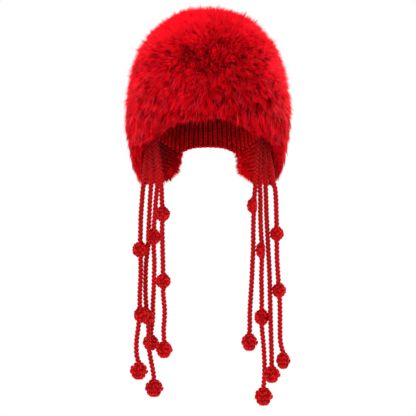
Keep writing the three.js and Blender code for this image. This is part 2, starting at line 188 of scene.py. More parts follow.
# Each bobble: a dome is stitched on its tie at a height, and a bud closes the tie's free end.
# Facing 0 turns a dome to the front, 90 towards -X.
BOBBLE_COLUMNS = ("name", "tie", "form", "z", "width", "height", "depth", "facing")
BOBBLES = (
    ("bobble_left_1a", "tie_left_1", "dome", -0.3212, 0.0215, 0.022, 0.014, 0),
    ("bobble_left_1b", "tie_left_1", "dome", -0.416, 0.0205, 0.0215, 0.0135, 0),
    ("bobble_left_1c", "tie_left_1", "bud", -0.4975, 0.0245, 0.024, 0.021, 0),
    ("bobble_left_2a", "tie_left_2", "dome", -0.4205, 0.02, 0.0205, 0.012, 0),
    ("bobble_left_2b", "tie_left_2", "bud", -0.5245, 0.025, 0.0245, 0.021, 0),
    ("bobble_left_3a", "tie_left_3", "dome", -0.303, 0.0205, 0.022, 0.014, 0),
    ("bobble_left_3b", "tie_left_3", "bud", -0.4595, 0.0225, 0.022, 0.017, 0),
    ("bobble_left_4a", "tie_left_4", "dome", -0.269, 0.0205, 0.021, 0.014, 0),
    ("bobble_left_4b", "tie_left_4", "dome", -0.3675, 0.0205, 0.0205, 0.014, 0),
    ("bobble_left_4c", "tie_left_4", "bud", -0.4675, 0.0225, 0.023, 0.02, 0),
    ("bobble_right_1a", "tie_right_1", "dome", -0.257, 0.02, 0.0225, 0.0137, 90),
    ("bobble_right_1b", "tie_right_1", "bud", -0.457, 0.0225, 0.024, 0.02, 0),
    ("bobble_right_2a", "tie_right_2", "dome", -0.3225, 0.02, 0.023, 0.0126, 90),
    ("bobble_right_2b", "tie_right_2", "dome", -0.4205, 0.0205, 0.0225, 0.014, 0),
    ("bobble_right_2c", "tie_right_2", "bud", -0.5375, 0.025, 0.0255, 0.021, 0),
    ("bobble_right_3a", "tie_right_3", "bud", -0.503, 0.023, 0.023, 0.02, 0),
    ("bobble_right_4a", "tie_right_4", "dome", -0.2985, 0.019, 0.02, 0.014, 0),
    ("bobble_right_4b", "tie_right_4", "dome", -0.381, 0.019, 0.0205, 0.014, 0),
    ("bobble_right_4c", "tie_right_4", "bud", -0.4835, 0.019, 0.023, 0.019, 0),
)

# How far to the +X side of its tie a dome sits.
BOBBLES_ASIDE = {"bobble_left_1b": 0.0028}

# Knit
KNIT_WALL = 0.005
INNER_FACE = 0.0006  # the wall's inner face lies this far outside the knit's inside
STITCH_INSET = 0.0002  # how far the middles of stitches stand in from there
STITCH_TONES = 0.28  # the spread of the stitches' tones
YARN_DEPTH = 1.1  # the depth of a stitch's leg, as a share of its width
RIB_COUNT = 72
RIB_RELIEF = 0.0008
LEAST_RIB_PITCH = 0.0042  # towards the crown, ribs closer than this are thinned out
LAST_STITCH = 0.12  # the station of the topmost stitches
RIB_SHARE = 0.75  # stitches take up this much of a rib's pitch at most
RIB_FADE = 3  # the ribs' relief fades out from this station up
LEG_LEAN = 27.0
LEG_LENGTH = 0.74  # half length of a stitch's leg, as a share of the stitch pitch
LEG_SPREAD = 0.24  # from a rib's middle to a leg's, as a share of the rib's width
INSIDE_SHADE = 0.50  # the share of light that is lost inside
INSIDE_SHADE_RISE = 0.030  # all of it from this far above the rim
# The cast-on edge: how far its stitches stand above the rim and outside the knit's inside, and
# their half length, half width and half thickness.
CAST_ON_RISE = 0.0012
CAST_ON_OUT = KNIT_WALL / 2 - 0.0005
CAST_ON_BEAD = (0.0040, KNIT_WALL / 2 + 0.0006, 0.0022)

# Ear flaps, by the angle from the middle of the forehead
SIDES = {"left": -1, "right": 1}
FLAP_FRONT_ANGLE = 79.0
FLAP_REAR_ANGLE = {"left": 154.3, "right": 149.8}
FLAP_HEM = 0.012  # the knit ends this far above the pile's lower edge
FLAP_LEAST_DEPTH = 0.004  # from the band to the hem
FLAP_RIB_PITCH = 0.0080
FLAP_RIB_WIDTHS = (0.5, 1.1)  # shares of the rib width, in front and at the rear
LEAST_LEG = 0.55  # the share of a stitch's length that the narrowest one would keep
FLAP_BORDER = 0.0020  # left free of stitches above the hem
FLAP_REAR_BORDER = 1.5  # and before the rear edge, in degrees
FLAP_POINTS = 240  # points along a rib of a flap
LEAST_ROW = 12  # a rib with no more points than this is left out
# The share of light on a flap's stitches, at the band and at its lower edge.
FLAP_LIGHT = {"left": (0.22, 0.65), "right": (0.60, 1.00)}
FLAP_LIGHT_DROP = 0.045  # the second one holds from this far below the band

# Pile
PILE_CLEARANCE = 0.0015  # from the knit's outside to the pile
BACKING_HEM = 0.006  # the backing ends this far above the rim
BACKING_BESIDE = 4.5  # also above the rim this many degrees to each side
# How far the lowest strands hang past the rim, or stay short of it, and how far above the rim
# that begins.
OVERHANG = {"front": 0.002, "flaps": -0.003}
OVERHANG_BAND = 0.020
FRINGE_ANGLE = 65.0  # the fringe over the face ends here
FRINGE_RAGGED = 0.6  # how much more uneven its tips are
# On the crown's top, down to a station, the pile lies calmer, and even its roots are lit.
CROWN_END = 4.6
CROWN_CALM, CALM_FADE = 0.6, 1.2
CROWN_START, START_FADE = 0.55, 1.6
ROOMY_STATION = 5  # above this level no root comes near the knit
ROOT_RISE = 0.020  # roots lie about this far above their tips
# Pale hairs are partly guard hairs and partly a painted sheen on the pile's lower sides and edges.
PALE_STATIONS = (3, 6)  # pale hairs begin at the first and are at their most at the second
# How far the pile's underside rises towards the knit, by the angle from the forehead.
UNDER_RISE = ((0, 0.003), (20, 0.006), (32, 0.010), (60, 0.011), (74, 0.0), (180, 0.0))
UNDER_WIDTH = 0.030  # of the underside, on average
UNDER_LENGTH = 0.014
UNDER_LEAN = 62.0  # where it stands upright
UNDER_DRAW = 0.1
UNDER_SHADE = 0.5  # how light the tips are where it faces down
UNDER_SPREAD = 0.9  # how far roots draw in from the edges of the underside
STEEPNESS = 1.2  # how soon a slanting underside counts as upright
RETREAT = 0.0015  # how far tips stay back from the underside where it faces down
REAR_RETREAT = 0.002  # and how much further behind an angle
REAR_ANGLE = 100
# The nap on the inner side of the flaps' borders, and the strands under the band in front.
NAP_ANGLE = 5.0  # its width along the front and rear edges, in degrees
NAP_DROP = 0.003  # it starts this far below the seam
NAP_RISE = 0.006  # the nap covers the knit's hem by this much
NAP_PROUD = 0.0036  # it stands in from the knit by this much
NAP_SLIT_ANGLE = 0.5  # this close to a flap's front edge it also fills the slit outside
NAP_SLIT = 0.011
NAP_START = 0.45  # how light its roots are
NAP_REACH, FRONT_REACH = 0.75, 0.7  # and the tips of each
NAP_LEAN, FRONT_LEAN = 60.0, 70.0
NAP_LENGTH, FRONT_LENGTH = 0.0085, 0.013
INNER_DRAW = 0.05
INNER_ROOM = KNIT_WALL * 0.6  # room for roots in the knit's thickness
INNER_HEIGHTS = (-0.235, -0.12)  # places are drawn between these heights
INNER_AREA = 0.58 * 0.12  # round the head by the height of that band
EDGE_MARGIN = 0.002
# Every strand: its length and width as shares of the usual ones, and its root.
LENGTH_SHARES = (0.8, 1.2)
WIDTH_SHARES = (0.75, 1.2)
ROOM_MARGIN = 0.001
LEAST_ROOM = 0.003  # a strand's root goes at least this deep
ROOT_COVER = 0.002  # and lies at least this far inside the pile
DARK_DEPTH = 0.009  # roots less deep than this catch some light
SHALLOW_START = 0.65
PALE_SHARE = 0.08
PALE_STRENGTHS = (0.4, 1.0)
STRAY_SHARE, STRAY_SHARE_OUTSIDE = 0.01, 0.08  # of all strands, and more on the outside
STRAY_PROUD = (0.001, 0.004)
STRAY_WIDTH = 0.5
# What is left on the inside and the underside: of the sway, of standing proud and of the draw.
INNER_SWAY, INNER_PROUD, INNER_WISPS = 0.3, 0.4, 0.25
# How far tips stand proud of the pile's surface and how far ahead of their place they lie, and
# how their tones differ: the mean, and the spread at each level of gathering.
PROUD = -0.0021
PROUD_SPREAD = {"strand": 0.0009, "wisp": 0.0021, "tuft": 0.0012}
AHEAD_SPREAD = {"strand": 0.0010, "wisp": 0.0014, "tuft": 0.0016}
TONE_SPREAD = {"lock": 0.06, "tuft": 0.07, "wisp": 0.19, "strand": 0.15}
# Strands that nothing else is said of are on the inside or the underside, have slightly uneven
# tips, sway freely, are dark at the root, and none is pale.
PLAIN_STRANDS = {"outer": 0.0, "ragged": 0.3, "calm": 0.0, "start": 0.0, "pale": 0.0}

# Ties
TIE_STEP = 0.0012  # from ring to ring of a strand
STRAND_SIDES = 6
STRAND_TONES = (0.35, 0.65)
TUCKED_STEPS = 3  # steps by which a tie goes on inside the bobble at its end
PLAIT_CORNER = 0.2  # how sharply the strands turn back at the plait's edges
PLAIT_DEPTH = 0.55  # how far they cross over, as a share of how far they go sideways
EDGE_SHADE = 0.22  # the share of light that is left at a plait's edges
# The share of light on a tie, under the rim of the pile and below the flaps.
TIE_LIGHT = (0.30, 1.0)
TIE_LIGHT_HEIGHTS = (-0.150, -0.212)

# Bobbles
PETALS = 5  # round the ball's outline
PETAL_RELIEF = 0.025
DOME_BACK_SHARE = 0.29  # of a dome's depth, behind its widest line
# The waist of a bud: its depth, how far below the middle, and its width, as shares of the ball.
BUD_WAIST, BUD_WAIST_DROP, BUD_WAIST_BAND = 0.10, 0.5, 0.2
# The rings of petals on a bobble from its pole: the angle from the pole in degrees and the count.
PETAL_RINGS = {
    "dome": ((0, 1), (38, 5), (74, 8), (110, 8), (146, 5), (174, 1)),
    "bud": ((24, 4), (58, 7), (92, 9), (126, 7), (158, 4)),
}
PETAL_TURN = 35  # degrees by which petals turn to and fro
PETAL_SHIFT, LOOP_SHIFT = 0.08, 0.06  # how far petals and loops are off their places
# The outer loops of a petal: how far they lie down from the middle one, how far they spread,
# in degrees, and how deep the middle one and the outer ones sink in.
LOOP_DROP, LOOP_FAN = 0.10, 20
LOOP_SINK, OUTER_LOOP_SINK = 0.0002, 0.0006
LOOP_SHARES = (0.66, 0.75)  # half width and half thickness, as shares of the loops' pitch
CORE_INSET, CORE_SHADE = 0.0012, 0.5  # of the ball under the loops, its inset and its painted shade

# Everywhere
GAP = 0.0005  # between pieces that touch
SLOPE_STEP = 0.05  # levels over which the slope of a surface is measured

# The studio's softboxes: where each stands, its width, and its share of the power.
SOFTBOXES = (
    ("softbox_front", (-0.4, -1.4, -0.9), 1.2, 0.47),
    ("softbox_front_left", (-0.8, -1.3, 0.75), 1.2, 0.48),
    ("softbox_above", (0.0, -0.1, 1.3), 1.4, 0.62),
    ("softbox_left", (-1.45, 0.1, -0.1), 1.0, 0.20),
    ("softbox_right", (1.45, 0.1, 0.0), 1.0, 0.76),
    ("softbox_rear_left", (-1.1, 1.0, -0.1), 0.9, 0.78),
    ("softbox_rear_right", (1.1, 1.0, -0.1), 0.9, 0.88),
)
LIGHT_AIM = Vector((0, 0, -0.15))


def linear(hex_colour):
    """An sRGB hex colour as linear red, green and blue."""
    shares = [int(hex_colour[i:i + 2], 16) / 255 for i in (0, 2, 4)]
    return [c / 12.92 if c <= 0.04045 else ((c + 0.055) / 1.055) ** 2.4 for c in shares]


def length_property(name, description, default):
    """A setting for a length."""
    return FloatProperty(
        name=name, description=description, default=default, min=0.0, precision=5, unit="LENGTH"
    )


def share_property(name, description, default):
    """A setting for a share, from nothing to all."""
    return FloatProperty(
        name=name, description=description, default=default, min=0.0, max=1.0,
        subtype="FACTOR",
    )


def colour_property(name, description, hex_colour):
    """A setting for a colour."""
    return FloatVectorProperty(
        name=name, description=description, default=linear(hex_colour), size=3,
        min=0.0, max=1.0, subtype="COLOR",
    )


# Settings

class FurSettings(bpy.types.PropertyGroup):
    """Sizes and colours of the pile."""

    strand_spacing: length_property("Strand spacing", "From one strand to the next", 0.00115)
    strand_width: length_property("Strand width", "Width of a strand at its root", 0.0014)
    tuft_spacing: length_property("Tuft spacing", "From one tuft to the next", 0.0085)
    wisp_spacing: length_property("Wisp spacing", "From one wisp of a tuft to the next", 0.0028)
    wisp_draw: share_property("Wisp draw", "How far the tips of a wisp come together", 0.5)
    lock_spacing: length_property("Lock spacing", "From one lock of tufts to the next", 0.026)
    backing_depth: length_property("Backing depth", "From the tips to the dense underfur", 0.012)
    parting: share_property("Parting", "How far the front is brushed towards -X", 0.10)
    strand_sway: share_property("Strand sway", "How far strands turn off their course", 0.10)
    wisp_sway: share_property("Wisp sway", "How far wisps turn off their course", 0.12)
    tuft_sway: share_property("Tuft sway", "How far tufts turn off their course", 0.15)
    lock_sway: share_property("Lock sway", "How far locks turn off their course", 0.12)
    seed: IntProperty(name="Seed", description="Seed of the random draws", default=7, min=0)
    root_colour: colour_property("Root colour", "Shaded depth of the pile", "580002")
    body_colour: colour_property("Body colour", "Middle of a strand", "e2000c")
    tip_colour: colour_property("Tip colour", "Tips, pinker than the rest", "f40a22")
    # The pale colour is partly guard hairs and partly a painted sheen.
    pale_colour: colour_property("Pale colour", "The odd pale guard hair", "e44a68")


class KnitSettings(bpy.types.PropertyGroup):
    """Sizes and colours of the rib knit."""

    stitch_pitch: length_property("Stitch pitch", "Height of one stitch along a rib", 0.005)
    rib_width: length_property("Rib width", "Width of the stitch column on a rib", 0.0052)
    yarn_width: length_property("Yarn width", "Width of the yarn in a stitch", 0.0029)
    flap_ribs: IntProperty(
        name="Flap ribs", description="Ribs on the face of an ear flap", default=8, min=1
    )
    yarn_colour: colour_property("Yarn colour", "Wool of the lining", "de000c")
    shade_colour: colour_property("Shade colour", "Deep between the stitches", "180000")


class TieSettings(bpy.types.PropertyGroup):
    """Sizes and colours of the plaited ties."""

    diameter: length_property("Diameter", "Width of a tie over its plait", 0.0063)
    plait_pitch: length_property("Plait pitch", "Length in which a strand comes back", 0.0175)
    plait_width: length_property("Plait width", "Width of the plait over its fuzzy strands", 0.0080)
    strand_width: length_property("Strand width", "Width of one strand of the plait", 0.0035)
    yarn_colour: colour_property("Yarn colour", "Wool of the ties", "cc0c14")
    shade_colour: colour_property("Shade colour", "Deep between the strands", "5c0004")


class BobbleSettings(bpy.types.PropertyGroup):
    """Sizes and colours of the crocheted bobbles."""

    loop_length: length_property("Loop length", "Length of one loop of a crocheted petal", 0.0066)
    loop_pitch: length_property("Loop pitch", "From loop to loop across a petal", 0.0022)
    yarn_colour: colour_property("Yarn colour", "Wool of the bobbles", "b8080e")
    shade_colour: colour_property("Shade colour", "Deep between the stitches", "3a0002")


class StageSettings(bpy.types.PropertyGroup):
    """Camera, light and floor."""

    camera_distance: length_property("Camera distance", "Camera to the middle of the hat", 1.8)
    camera_height: FloatProperty(
        name="Camera height", description="Height of the camera, level with the picture's middle",
        default=-0.261, unit="LENGTH",
    )
    frame_width: length_property("Frame width", "Width that the picture takes in at the hat", 0.624)
    floor_height: FloatProperty(
        name="Floor height", description="Height of the floor below the hat as it is worn",
        default=-1.3, unit="LENGTH",
    )
    surround: share_property("Surround", "Light that the white studio gives the hat", 0.32)
    softbox_power: FloatProperty(
        name="Softbox power", description="Full power of a softbox", default=32.0, min=0.0,
        unit="POWER",
    )


# Shape of the crown

def by_column(columns, rows):
    """A table of numbers as one array for each named column."""
    return dict(zip(columns, np.array(rows, float).T))


levels = by_column(LEVEL_COLUMNS, LEVELS)
edges = by_column(EDGE_COLUMNS, EDGES)
lays = by_column(LAY_COLUMNS, LAYS)


def ramp(values, start, end):
    """0 at start, 1 at end, evenly between them and level beyond them."""
    return np.clip((values - start) / (end - start), 0, 1)


def spline(keys, values, at):
    """A smooth curve through values at keys, read at other places."""
    secants = np.diff(values) / np.diff(keys)
    slopes = np.concatenate([secants[:1], (secants[1:] + secants[:-1]) / 2, secants[-1:]])
    at = np.clip(at, keys[0], keys[-1])
    i = np.clip(np.searchsorted(keys, at, side="right") - 1, 0, len(keys) - 2)
    step = keys[i + 1] - keys[i]
    p = (at - keys[i]) / step
    return (
        (1 + 2 * p) * (1 - p) ** 2 * values[i]
        + p * (1 - p) ** 2 * step * slopes[i]
        + p * p * (3 - 2 * p) * values[i + 1]
        + p * p * (p - 1) * step * slopes[i + 1]
    )


def section(surface, station):
    """Half width, half depth and height of the knit's inside or of the pile's tips."""
    return [
        spline(levels["station"], levels[f"{surface}_{part}"], station)
        for part in ("half_width", "half_depth", "z")
    ]


def crown_point(surface, angle, station, offset=0.0):
    """Points of a surface of the crown, moved outwards by an offset."""
    angle, station, offset = np.broadcast_arrays(angle, station, offset)
    half_width, half_depth, height = section(surface, station)
    above = section(surface, np.maximum(station - SLOPE_STEP, 0.0))
    below = section(surface, np.minimum(station + SLOPE_STEP, LAST_STATION))
    rise, spread = above[2] - below[2], below[0] - above[0]
    outwards, upwards = rise / np.hypot(rise, spread), spread / np.hypot(rise, spread)
    turn = np.radians(angle)
    return np.stack([
        (half_width + offset * outwards) * np.sin(turn),
        -(half_depth + offset * outwards) * np.cos(turn),
        height + offset * upwards,
    ], axis=-1)


def unit(vectors):
    """The vectors, each one long."""
    return vectors / np.maximum(np.linalg.norm(vectors, axis=-1, keepdims=True), 1e-12)


def crown_frame(surface, angle, station):
    """Outward, round the head and downward directions at points of a surface."""
    outward = unit(
        crown_point(surface, angle, station, 0.001) - crown_point(surface, angle, station)
    )
    around = unit(
        crown_point(surface, angle + 0.1, station) - crown_point(surface, angle - 0.1, station)
    )
    around = unit(around - outward * (around * outward).sum(-1, keepdims=True))
    return outward, around, np.cross(around, outward)


def from_front(angle):
    """Degrees from the middle of the forehead, the same to both sides."""
    return np.abs((np.asarray(angle, float) + 180) % 360 - 180)


def edge_height(edge, angle):
    """Height of a lower edge at an angle."""
    return spline(edges["angle"], edges[edge], from_front(angle))


def station_at(surface, height):
    """The station at which a surface has a height."""
    stations = np.linspace(0, LAST_STATION, 1101)
    heights = spline(levels["station"], levels[f"{surface}_z"], stations)
    return np.interp(-np.asarray(height), -heights, stations)


def flap_ends(angle):
    """Heights of an ear flap's upper edge, below the band, and of its hem."""
    top = edge_height("band_rim", angle) - 2 * GAP
    return top, np.minimum(top - FLAP_LEAST_DEPTH, edge_height("fur_rim", angle) + FLAP_HEM)


def flap_point(side, angle, down, offset=0.0):
    """Points of an ear flap's inner face, down from 0 at the band to 1 at its lower edge."""
    top, bottom = flap_ends(angle)
    height = top + (bottom - top) * down
    return crown_point("knit", SIDES[side] * angle, station_at("knit", height), offset)


# Mesh helpers

def placed(points, shape):
    """Moves the corners of a bmesh to new points."""
    for vert, point in zip(shape.verts, points):
        vert.co = point


def corner_array(shape):
    """The corners of a bmesh, one in a row."""
    return np.array([vert.co[:] for vert in shape.verts])


def lengths_along(line):
    """How far along a line of points each point is."""
    steps = np.linalg.norm(np.diff(line, axis=0), axis=1)
    return np.concatenate([[0], np.cumsum(steps)])


def finished_mesh(name, shape):
    """A smooth mesh from a bmesh, its normals pointing outwards."""
    bmesh.ops.recalc_face_normals(shape, faces=shape.faces)
    mesh = bpy.data.meshes.new(name)
    shape.to_mesh(mesh)
    shape.free()
    mesh.polygons.foreach_set("use_smooth", np.ones(len(mesh.polygons), bool))
    return mesh


def pattern_of(shape):
    """Corners and triangles of a small bmesh that is repeated many times."""
    bmesh.ops.triangulate(shape, faces=shape.faces)
    bmesh.ops.recalc_face_normals(shape, faces=shape.faces)
    shape.verts.index_update()
    corners = corner_array(shape)
    triangles = np.array([[vert.index for vert in face.verts] for face in shape.faces])
    shape.free()
    return corners, triangles


def joined_copies(name, triangles, places, **attributes):
    """One mesh of many copies. Places holds the corners of each copy, and each attribute a value
    for each copy or for each corner of each copy."""
    copies, corners = places.shape[:2]
    faces = triangles[None] + corners * np.arange(copies)[:, None, None]
    mesh = bpy.data.meshes.new(name)
    mesh.vertices.add(copies * corners)
    mesh.vertices.foreach_set("co", places.astype(np.float32).ravel())
    mesh.loops.add(faces.size)
    mesh.loops.foreach_set("vertex_index", faces.astype(np.int32).ravel())
    mesh.polygons.add(faces.size // 3)
    mesh.polygons.foreach_set("loop_start", np.arange(0, faces.size, 3, dtype=np.int32))
    mesh.polygons.foreach_set("use_smooth", np.ones(faces.size // 3, bool))
    for key, values in attributes.items():
        values = values if values.ndim == 2 else values[:, None]
        set_values(mesh, **{key: np.broadcast_to(values, (copies, corners)).ravel()})
    mesh.update()
    return mesh


def set_values(mesh, **values):
    """Gives a mesh named attributes, each one value all over or one for each corner."""
    for key, value in values.items():
        attribute = mesh.attributes.new(key, "FLOAT", "POINT")
        spread = np.broadcast_to(np.float32(value), len(mesh.vertices))
        attribute.data.foreach_set("value", np.ascontiguousarray(spread))


def joined(name, *meshes):
    """Several meshes as one."""
    shape = bmesh.new()
    for mesh in meshes:
        shape.from_mesh(mesh)
        bpy.data.meshes.remove(mesh)
    mesh = bpy.data.meshes.new(name)
    shape.to_mesh(mesh)
    shape.free()
    return mesh


def closed_wall(name, columns, rows, place):
    """A wall round the head, closed at both middles. Place takes angles in degrees and rows from
    0, the middle of its outer face, to 1, the middle of its inner face."""
    wall = bmesh.new()
    bmesh.ops.create_grid(wall, x_segments=columns, y_segments=rows, size=0.5)
    grid = corner_array(wall)[:, :2] + 0.5
    placed(place(360 * grid[:, 0], grid[:, 1]), wall)
    bmesh.ops.remove_doubles(wall, verts=wall.verts, dist=1e-6)
    return finished_mesh(name, wall)


def add_piece(name, mesh, material, slot, *nodes):
    """A finished piece of the hat that stands for one or more nodes of the model."""
    mesh.name = name
    mesh.materials.append(material)
    piece = bpy.data.objects.new(name, mesh)
    bpy.context.scene.collection.objects.link(piece)
    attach(piece, "root")
    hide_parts(*nodes)
    return piece


# Materials

def add_node(tree, kind, inputs=None, **settings):
    """Adds a node. Inputs go by name or number, each a value or the socket that it links from."""
    node = tree.nodes.new(kind)
    for name, value in settings.items():
        setattr(node, name, value)
    for name, value in (inputs or {}).items():
        if isinstance(value, bpy.types.NodeSocket):
            tree.links.new(value, node.inputs[name])
        else:
            node.inputs[name].default_value = value
    return node


def new_material(name):
    """A material and its node tree, still empty."""
    material = bpy.data.materials.new(name)
    material.use_nodes = True
    material.node_tree.nodes.clear()
    return material, material.node_tree


def blended(tree, share, first, second):
    """A colour between two colours or colour sockets."""
    colours = [c if isinstance(c, bpy.types.NodeSocket) else (*c, 1.0) for c in (first, second)]
    mix = add_node(tree, "ShaderNodeMix", data_type="RGBA")
    for socket, value in zip((mix.inputs[0], mix.inputs[6], mix.inputs[7]), (share, *colours)):
        if isinstance(value, bpy.types.NodeSocket):
            tree.links.new(value, socket)
        else:
            socket.default_value = value
    return mix.outputs[2]


def dyed_fur(settings):
    """Dyed long fur. Its depth is painted dark as painted shade, its body a saturated red and the
    fine tips are pinker. Strands and tufts differ in tone, and pale guard hairs, which also paint
    the sheen, streak the sides."""
    material, tree = new_material("dyed_fur")
    along, tone, pale = (
        add_node(tree, "ShaderNodeAttribute", attribute_name=key).outputs["Fac"]
        for key in ("along", "tone", "pale")
    )
    # Painted shade: each strand runs from the dark root colour, the pile's shaded depth, through
    # the body to the tip; its start and reach shift that by the light its place gets.
    shading = add_node(tree, "ShaderNodeValToRGB", {"Fac": along})
    stops = ((0.25, settings.root_colour), (0.65, settings.body_colour), (1.0, settings.tip_colour))
    while len(shading.color_ramp.elements) < len(stops):
        shading.color_ramp.elements.new(0.5)
    for element, (position, colour) in zip(shading.color_ramp.elements, stops):
        element.position = position
        element.color = (*colour, 1.0)
    brightness = add_node(tree, "ShaderNodeMapRange", {
        "Value": tone, "To Min": 0.5, "To Max": 1.35,
    })
    toned = add_node(tree, "ShaderNodeHueSaturation", {
        "Color": shading.outputs["Color"], "Value": brightness.outputs["Result"],
    })
    # Pale streaks, pinker towards the tips: guard hairs, and a painted sheen on the sides.
    streak = add_node(tree, "ShaderNodeMath", {0: pale, 1: along}, operation="MULTIPLY")
    hair = blended(tree, streak.outputs["Value"], toned.outputs["Color"], settings.pale_colour)
    surface = add_node(tree, "ShaderNodeBsdfPrincipled", {
        "Base Color": hair,
        "Roughness": 0.55,
        "IOR": 1.5,
        "Specular IOR Level": 0.03,
    })
    add_node(tree, "ShaderNodeOutputMaterial", {"Surface": surface.outputs["BSDF"]})
    return material


def wool_yarn(name, settings, fibre_size=0.0016):
    """Spun wool. It is matt and mottled by its fibres, which are drawn several times their real
    size to show. Its depth attribute paints light and shade on it: painted shade deep between the
    stitches and wherever less light reaches."""
    material, tree = new_material(name)
    depth, tone = (
        add_node(tree, "ShaderNodeAttribute", attribute_name=key).outputs["Fac"]
        for key in ("depth", "tone")
    )
    place = add_node(tree, "ShaderNodeTexCoord").outputs["Object"]
    fibres = add_node(tree, "ShaderNodeTexNoise", {
        "Vector": place, "Scale": 1 / fibre_size, "Detail": 3.0, "Roughness": 0.65,
    }).outputs["Fac"]
    mottle = add_node(tree, "ShaderNodeMath", {0: tone, 1: fibres}, operation="ADD")
    brightness = add_node(tree, "ShaderNodeMapRange", {
        "Value": mottle.outputs["Value"], "From Min": 0.55, "From Max": 1.45,
        "To Min": 0.6, "To Max": 1.3,
    })
    # The depth attribute is painted light and shade: 0 gives the shade colour, 1 the full yarn
    # colour.
    toned = add_node(tree, "ShaderNodeHueSaturation", {
        "Color": blended(tree, depth, settings.shade_colour, settings.yarn_colour),
        "Value": brightness.outputs["Result"],
    })
    relief = add_node(tree, "ShaderNodeBump", {
        "Height": fibres, "Strength": 0.8, "Distance": fibre_size / 2,
    })
    surface = add_node(tree, "ShaderNodeBsdfPrincipled", {
        "Base Color": toned.outputs["Color"],
        "Roughness": 0.85,
        "IOR": 1.5,
        "Specular IOR Level": 0.08,
        "Normal": relief.outputs["Normal"],
    })
    add_node(tree, "ShaderNodeOutputMaterial", {"Surface": surface.outputs["BSDF"]})
    return material


def studio_paper():
    """Matt white background paper, which gives the pale floor."""
    material, tree = new_material("studio_paper")
    surface = add_node(tree, "ShaderNodeBsdfPrincipled", {
        "Base Color": (*linear("fbfbfb"), 1.0), "Roughness": 0.9,
    })
    add_node(tree, "ShaderNodeOutputMaterial", {"Surface": surface.outputs["BSDF"]})
    return material


# Pile

def strand_pattern():
    """A closed three-sided spike along +Z, one long."""
    spike = bmesh.new()
    bmesh.ops.create_cone(
        spike, cap_ends=True, cap_tris=False, segments=3, radius1=1.0, radius2=0.0, depth=1.0
    )
    bmesh.ops.translate(spike, vec=(0, 0, 0.5), verts=spike.verts)
    return pattern_of(spike)


def strands_with(tip, **values):
    """Strands with these tips. Each value is one for all of them or has a row for each."""
    values = {**PLAIN_STRANDS, **values}
    for key, value in values.items():
        if np.ndim(value) < 2:
            values[key] = np.broadcast_to(value, len(tip))
    return {"tip": tip, **values}


def gathered(groups):
    """Strands of several kinds as one."""
    return {key: np.concatenate([group[key] for group in groups]) for key in groups[0]}


def spread_over_pile(spacing, draws):
    """Angles and stations of points spread evenly over the pile above its rim."""
    stations = np.linspace(0, LAST_STATION, 2201)
    lengths = lengths_along(crown_point("fur", 45.0, stations))
    angles, heights = [], []
    for length in np.arange(spacing / 2, lengths[-1], spacing):
        half_width, half_depth, _ = section("fur", np.interp(length, lengths, stations))
        count = max(3, round(math.pi * (half_width + half_depth) / spacing))
        shift = draws.uniform(-0.5, 0.5, (2, count))
        angles.append((np.arange(count) + shift[0] + draws.random()) * 360 / count)
        heights.append(np.interp(length + shift[1] * spacing, lengths, stations))
    angles, heights = np.concatenate(angles) % 360, np.concatenate(heights)
    kept = heights < station_at("fur", edge_height("fur_rim", angles))
    return angles[kept], heights[kept]


def pile_depth(angle, height):
    """How far the pile's surface stands out from the knit, level with it."""
    surface = crown_point("fur", angle, station_at("fur", height))
    knit = crown_point("knit", angle, station_at("knit", height), KNIT_WALL + PILE_CLEARANCE)
    return np.linalg.norm(surface[:, :2], axis=1) - np.linalg.norm(knit[:, :2], axis=1)


def outer_pile(spacing, draws):
    """Strands on the outside of the pile. The lowest ones hang over its rim."""
    angle, station = spread_over_pile(spacing, draws)
    outward, _, down = crown_frame("fur", angle, station)
    surface = crown_point("fur", angle, station)
    near_rim = ramp(surface[:, 2] - edge_height("fur_rim", angle), OVERHANG_BAND, 0)
    aside = from_front(angle)
    hang = near_rim * np.where(aside < FLAP_FRONT_ANGLE, OVERHANG["front"], OVERHANG["flaps"])
    depth = pile_depth(angle, surface[:, 2] + ROOT_RISE)
    return strands_with(
        surface + hang[:, None] * down, normal=outward, flow=down, angle=angle, outer=1.0,
        room=np.where(station < ROOMY_STATION, 1.0, depth),
        ragged=1 + FRINGE_RAGGED * near_rim * (aside < FRINGE_ANGLE),
        calm=CROWN_CALM * ramp(station, CROWN_END, CROWN_END - CALM_FADE),
        start=CROWN_START * ramp(station, CROWN_END, CROWN_END - START_FADE),
        reach=1.0, pale=ramp(station, *PALE_STATIONS),
        **{key: spline(lays["station"], lays[key], station) for key in ("lean", "length", "draw")},
    )


def under_height(angle):
    """Height of the pile's underside where it meets the knit."""
    return edge_height("fur_rim", angle) + np.interp(from_front(angle), *zip(*UNDER_RISE))


def rim_strip(angle, share):
    """Points across the underside of the pile, from its outer edge to the knit."""
    outer = crown_point("fur", angle, station_at("fur", edge_height("fur_rim", angle)))
    inner = crown_point(
        "knit", angle, station_at("knit", under_height(angle)), KNIT_WALL + PILE_CLEARANCE
    )
    return outer + (inner - outer) * share[:, None]


